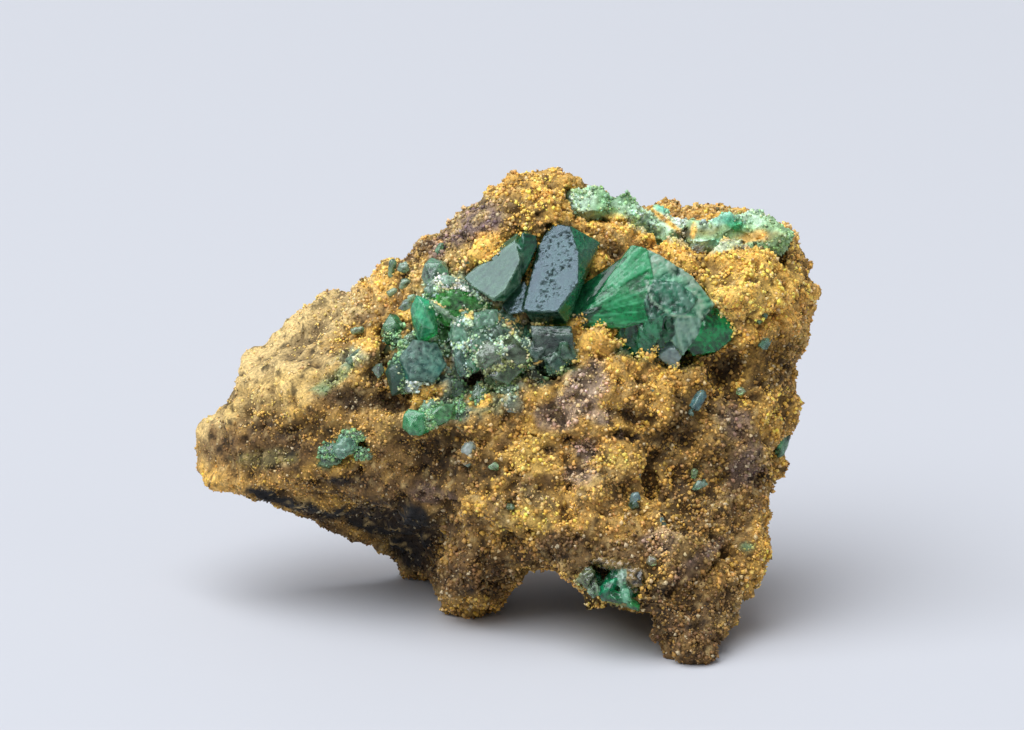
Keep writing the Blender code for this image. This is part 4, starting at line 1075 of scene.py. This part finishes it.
# The pale crust along the top right edge: its own tone, patches, and how many grains lie on it.
VEIN_TONE = (0.34, 0.52, 0.26)
VEIN_GRAINS = 2600
VEIN_PATCHES = (
    ("mint", 4.3, 23.9, 0.9, 0.9, 0, 0.9), ("green_stain", 6.2, 24.0, 1.2, 0.5, -15, 0.9),
    ("green_stain", 5.6, 23.1, 0.9, 0.6, 0, 0.9), ("olive", 4.6, 23.0, 0.5, 0.4, 0, 0.9),
    ("yellow", 6.6, 22.6, 0.9, 0.5, 0, 0.8), ("mint", 8.2, 22.9, 1.6, 0.6, -25, 0.9),
    ("orange", 9.0, 22.8, 1.2, 0.16, -38, 1.0), ("white", 9.7, 22.9, 0.7, 0.35, -20, 0.6),
    ("turquoise", 9.0, 23.4, 0.5, 0.3, -20, 0.8), ("olive", 11.2, 22.2, 0.8, 0.4, 0, 1.0),
    ("dark_brown", 10.3, 21.9, 0.5, 0.4, 0, 0.9), ("orange", 10.7, 22.1, 0.16, 0.6, -5, 1.0),
    ("mint", 12.0, 22.8, 1.2, 0.5, 20, 0.9), ("emerald", 13.0, 22.7, 0.6, 0.5, 0, 0.9),
    ("turquoise", 12.6, 23.0, 0.9, 0.4, 30, 0.6), ("mint", 14.2, 22.9, 1.0, 0.4, -15, 0.8),
    ("mint", 11.6, 21.4, 1.4, 0.25, 5, 0.9), ("white", 11.0, 21.0, 0.4, 0.25, 0, 0.9),
    ("ochre", 14.4, 21.8, 1.2, 0.4, 0, 0.9), ("turquoise", 12.2, 21.5, 0.6, 0.2, 0, 0.7),
)


def make_vein():
    points, faces = node_skin("vein_crust")
    skin, quads = remeshed(points, faces, CRUST_GRID)
    outward = normals_of(skin, quads)
    height = 0.12 * field(skin, 1.1, 71) + 0.14 * (KNOB_LEVEL - knobs(skin, 0.6, 72)) - 0.15
    height += 0.16 * chunks(skin, 1.3, 76) + 0.16 * field(skin, 0.3, 73)
    skin = skin + outward * height[:, None]
    base = np.tile(np.array(VEIN_TONE), (len(skin), 1))
    tones = patchy(skin, VEIN_PATCHES, base, 74)
    tones = tones * (1.08 + 0.5 * field(skin, 0.4, 75))[:, None]
    new_piece("vein_druse", skin, quads, tones, "pale_crust", MATERIALS["crust"], ("vein_crust",))
    weight = 0.2 + smooth_step(-0.2, 0.3, field(skin[quads].mean(1), 0.8, 77))
    rng = np.random.default_rng(33)
    grains = scattered(rng, VEIN_GRAINS, 0.05, 0.16, skin, quads, outward, weight, tones)
    new_piece("vein_grains", *grains, "pale_crust", MATERIALS["druse"], smooth=False)


def eased(values, quads, times):
    """Values at the corners of a skin, averaged with their neighbours some times over."""
    count = np.maximum(np.bincount(quads.ravel(), minlength=len(values)), 1)
    for _ in range(times):
        of_quads = np.repeat(values[quads].mean(1), 4)
        values = np.bincount(quads.ravel(), of_quads, len(values)) / count
    return values


def clearance(places, bodies):
    """Distance from the nearest crystal body, negative inside."""
    nearest = np.full(len(places), 9.0)
    for body in bodies:
        nearest = np.minimum(nearest, body.beyond(places).max(1))
    return nearest


def make_rock(bodies):
    """The limonite rock. Returns what the grains need: its skin, directions, tones and clearance."""
    points, faces = node_skin("matrix")
    skin, quads = remeshed(points, faces, ROCK_GRID)
    outward = normals_of(skin, quads)
    free = clearance(skin, bodies)
    quiet = smoothness(skin)
    broken = np.zeros(len(skin))
    for i, (size, amount) in enumerate(ROCK_CHUNKS):
        broken += amount * chunks(skin, size, 100 + i)
    height = eased(broken, quads, 3)
    for i, (size, amount) in enumerate(ROCK_BUMPS):
        height += amount * field(skin, size, 80 + i) * (1 - (0.6 if size < 2 else 0.0) * quiet)
    for i, (size, amount) in enumerate(ROCK_KNOBS):
        height += amount * (KNOB_LEVEL - knobs(skin, size, 90 + i)) * (1 - 0.8 * quiet)
    cave = smooth_step(0.26, 0.5, field(skin, CAVE_SIZE, 99))
    height -= CAVE_DEPTH * cave * (1 - 0.7 * quiet)
    facing = -outward[:, 2]
    hollowed = height - spots(skin, PITS) * smooth_step(-0.2, 0.3, facing)
    near = smooth_step(0.0, 0.7, free)
    lowered = np.minimum(hollowed, COVERED_HEIGHT) * smooth_step(-0.1, 0.1, free)
    moved = lowered + (hollowed - lowered) * near + spots(skin, MOUNDS) * smooth_step(-0.1, 0.4, facing)
    moved -= spots(skin, TRIMS)
    skin = skin + outward * moved[:, None]
    tones = rock_tones(skin, facing)
    # Painted shade: the rock's colour is drawn towards dark brown in its hollows and crevices, where the
    # relief is lowest.
    crevice = smooth_step(-0.45, 0.15, moved)
    dark = np.array(TONES["dark_brown"])
    shaded_tones = dark + (tones - dark) * (0.25 + 0.75 * crevice[:, None])
    # Painted shade: dark green on the rock where the crystals cover it.
    shaded_tones += (np.array(UNDER_CRYSTAL_SHADE) - shaded_tones) * (0.8 * smooth_step(0.14, 0.0, free))[:, None]
    # Painted shade between the grains: the rock under them is darkened, more low on the front than on the
    # crown, but not on the quiet flank and tip or on sides that face away.
    grain_gap_shade = 0.62 + 0.3 * smooth_step(13.0, 17.0, skin[:, 1])
    grain_gap_shade += (1 - grain_gap_shade) * np.maximum(quiet, smooth_step(0.2, -0.2, facing))
    shaded_tones *= grain_gap_shade[:, None]
    mounds = smooth_step(0.1, 0.3, spots(skin, MOUNDS))[:, None]
    shaded_tones += (np.array(TONES["orange"]) - shaded_tones) * mounds
    tones = tones + (np.array(TONES["orange"]) - tones) * mounds
    world = to_world(skin)
    world[:, 2] = np.maximum(world[:, 2], 0.0)
    skin = to_leaning(world)
    new_piece("limonite_rock", skin, quads, speckled(shaded_tones, skin, 0.35, 95), "limonite", MATERIALS["rock"],
              ("matrix",))
    return skin, quads, outward, tones, free, facing


GRAIN_FACES = np.array((
    (0, 2, 4), (2, 1, 4), (1, 3, 4), (3, 0, 4), (2, 0, 5), (1, 2, 5), (3, 1, 5), (0, 3, 5),
))
GRAIN_CORNERS = np.array(((1, 0, 0), (-1, 0, 0), (0, 1, 0), (0, -1, 0), (0, 0, 1), (0, 0, -1)), float)
# Tone of the pale strays, partly pale grains and partly painted glints.
GLINT_AND_PALE_TONE = (0.85, 0.72, 0.45)
# Shares of the grains that are pale strays, partly pale grains and partly painted glints, and dark ones.
GLINT_AND_PALE_SHARE = 0.08
DARK_SHARE = 0.08
# How much of its own half size a grain's centre stands clear of the skin.
GRAIN_LIFT = 0.35


def random_turns(rng, count):
    """Evenly spread rotation matrices."""
    w, x, y, z = unit(rng.normal(size=(count, 4))).T
    return np.stack([
        np.stack([1 - 2 * (y * y + z * z), 2 * (x * y - w * z), 2 * (x * z + w * y)], 1),
        np.stack([2 * (x * y + w * z), 1 - 2 * (x * x + z * z), 2 * (y * z - w * x)], 1),
        np.stack([2 * (x * z - w * y), 2 * (y * z + w * x), 1 - 2 * (x * x + y * y)], 1),
    ], 1)


# Grain pieces: name, count, least and greatest half size, and which part of the rock they cover.
GRAINS = (
    ("grains_crown", 13000, 0.05, 0.18, lambda a, b, front: front & (b > 13.0) & (a > -9.0) & (a <= 9.0)),
    ("grains_shoulder", 9500, 0.05, 0.18, lambda a, b, front: front & (b > 8.0) & (a > 9.0)),
    ("grains_middle", 13000, 0.05, 0.18, lambda a, b, front: front & (b <= 13.0) & (a > -4.0) & (a <= 9.0)),
    ("grains_left", 7500, 0.05, 0.12, lambda a, b, front: front & ((a <= -9.0) | (a <= -4.0) & (b <= 13.0))),
    ("grains_foot", 5500, 0.05, 0.18, lambda a, b, front: front & (b <= 8.0) & (a > 9.0)),
    ("grains_back", 8000, 0.07, 0.17, lambda a, b, front: ~front),
)


def scattered(rng, count, least, greatest, skin, quads, outward, weight, tones):
    """Octahedral grains on a skin, thickest where the weight is greatest: points, faces and colours."""
    corners = skin[quads]
    diagonals = corners[:, 2:] - corners[:, :2]
    area = 0.5 * np.linalg.norm(np.cross(diagonals[:, 0], diagonals[:, 1]), axis=1)
    share = area * weight
    chosen = rng.choice(len(quads), count, p=share / share.sum())
    s, t = rng.uniform(size=(2, count, 1))
    four = corners[chosen]
    spot = (four[:, 0] * (1 - s) + four[:, 1] * s) * (1 - t) + (four[:, 3] * (1 - s) + four[:, 2] * s) * t
    way = unit(outward[quads[chosen]].mean(1))
    half = least + (greatest - least) * rng.uniform(size=(count, 1)) ** 3
    stretch = rng.uniform(0.6, 1.4, (count, 6, 3))
    shape = np.einsum("nij,nkj->nki", random_turns(rng, count), GRAIN_CORNERS * stretch)
    points = (spot + way * half * GRAIN_LIFT)[:, None, :] + shape * half[:, None, :]
    tone = tones[quads[chosen]].mean(1) * rng.uniform(0.65, 1.6, (count, 1))
    tone = tone * np.stack([np.ones(count), rng.uniform(0.9, 1.1, count), rng.uniform(0.65, 1.25, count)], 1)
    stray = rng.uniform(size=(count, 1))
    # Pale strays: partly pale grains, partly painted glints.
    tone = np.where(stray > 1 - GLINT_AND_PALE_SHARE, 0.5 * tone + 0.5 * np.array(GLINT_AND_PALE_TONE), tone)
    tone = np.where(stray < DARK_SHARE, tone * 0.3, tone)
    world = to_world(points.reshape(-1, 3))
    world[:, 2] = np.maximum(world[:, 2], 0.0)
    sides = (GRAIN_FACES[None] + 6 * np.arange(count)[:, None, None]).reshape(-1, 3)
    return to_leaning(world), sides, np.repeat(tone, 6, axis=0)


def joined(parts):
    """Several sets of points, faces and colours as one."""
    points, sides, colours, start = [], [], [], 0
    for some_points, some_sides, some_colours in parts:
        points.append(some_points)
        sides.append(some_sides + start)
        colours.append(some_colours)
        start += len(some_points)
    return np.concatenate(points), np.concatenate(sides), np.concatenate(colours)


def make_grains(rock):
    skin, quads, outward, tones, free, facing = rock
    rng = np.random.default_rng(12)
    centre = skin[quads].mean(1)
    clumps = smooth_step(-0.35, 0.25, field(centre, 0.9, 96))
    mounds = spots(centre, MOUNDS) > 0.2
    open_skin = (free[quads].mean(1) > 0.03) | mounds
    front = facing[quads].mean(1) > -0.25
    black = tones[quads].mean(1).max(1) < 0.06
    weight = (0.3 + 0.7 * clumps) * open_skin * (1 - 0.85 * smoothness(centre)) * np.where(black, 0.2, 1.0)
    for name, count, least, greatest, covers in GRAINS:
        share = weight * covers(centre[:, 0], centre[:, 1], front)
        grains = scattered(rng, count, least, greatest, skin, quads, outward, share, tones)
        new_piece(name, *grains, "limonite", MATERIALS["druse"], smooth=False)


# Lights: name, way from the specimen, distance, width, height, power, colour.
LIGHTS = (
    ("overhead_softbox", (-0.36, -0.2, 0.91), 1.5, 1.8, 1.8, 38.0, (0.90, 0.94, 1.0)),
    ("front_softbox", (-0.28, -0.66, 0.69), 2.1, 1.8, 1.2, 6.3, (0.94, 0.97, 1.0)),
    ("right_fill", (0.8, -0.5, 0.35), 2.1, 1.2, 1.2, 1.6, (1.0, 0.97, 0.93)),
)
FLOOR_SIZE = 40.0
FLOOR_TONE = (0.56, 0.56, 0.58, 1.0)
FLOOR_ROUGHNESS = 0.6
WORLD_TONE = (0.80, 0.84, 0.92, 1.0)
WORLD_STRENGTH = 0.4
# What the camera looks at, in leaning millimetres, from how far in metres, and through what lens.
AIM = (0.26, 14.4, -2.0)
CAMERA_DISTANCE = 0.6
CAMERA_LENS = 366.0


def add_light(aim, name, way, distance, width, height, power, colour):
    data = bpy.data.lights.new(name, "AREA")
    data.shape = "RECTANGLE"
    data.size = width
    data.size_y = height
    data.energy = power
    data.color = colour
    light = bpy.data.objects.new(name, data)
    way = Vector(way).normalized()
    light.location = aim + way * distance
    light.rotation_euler = way.to_track_quat("Z", "Y").to_euler()
    bpy.context.scene.collection.objects.link(light)


def make_floor():
    bm = bmesh.new()
    bmesh.ops.create_grid(bm, x_segments=1, y_segments=1, size=FLOOR_SIZE)
    mesh = bpy.data.meshes.new("studio_floor")
    bm.to_mesh(mesh)
    bm.free()
    floor = bpy.data.objects.new("studio_floor", mesh)
    bpy.context.scene.collection.objects.link(floor)
    material = bpy.data.materials.new("studio_floor")
    _, _, _, shader = nodes_of(material)
    shader.inputs["Base Color"].default_value = FLOOR_TONE
    shader.inputs["Roughness"].default_value = FLOOR_ROUGHNESS
    mesh.materials.append(material)


def make_studio():
    """Pale floor, soft light from above, weak fill, and the camera that looks down at LEAN."""
    make_floor()
    world = bpy.data.worlds.new("studio")
    bpy.context.scene.world = world
    world.use_nodes = True
    background = world.node_tree.nodes["Background"]
    background.inputs["Color"].default_value = WORLD_TONE
    background.inputs["Strength"].default_value = WORLD_STRENGTH
    aim = Vector(to_world([AIM])[0])
    for light in LIGHTS:
        add_light(aim, *light)
    data = bpy.data.cameras.new("photo_view")
    data.sensor_width = 36.0
    data.lens = CAMERA_LENS
    data.clip_start = 0.01
    camera = bpy.data.objects.new("photo_view", data)
    toward_viewer = Vector(-AXES[2])
    camera.location = aim + toward_viewer * CAMERA_DISTANCE
    camera.rotation_euler = toward_viewer.to_track_quat("Z", "Y").to_euler()
    bpy.context.scene.collection.objects.link(camera)
    bpy.context.scene.camera = camera
    bpy.context.scene.view_settings.view_transform = "Standard"


def build():
    make_studio()
    soundings = Soundings(("matrix",) + CRYSTAL_NODES)
    groups = crystal_groups(soundings)
    rock = make_rock([body for group in groups.values() for body in group[0]])
    make_grains(rock)
    place_crystals(groups, soundings, rock)
    make_vein()


build()
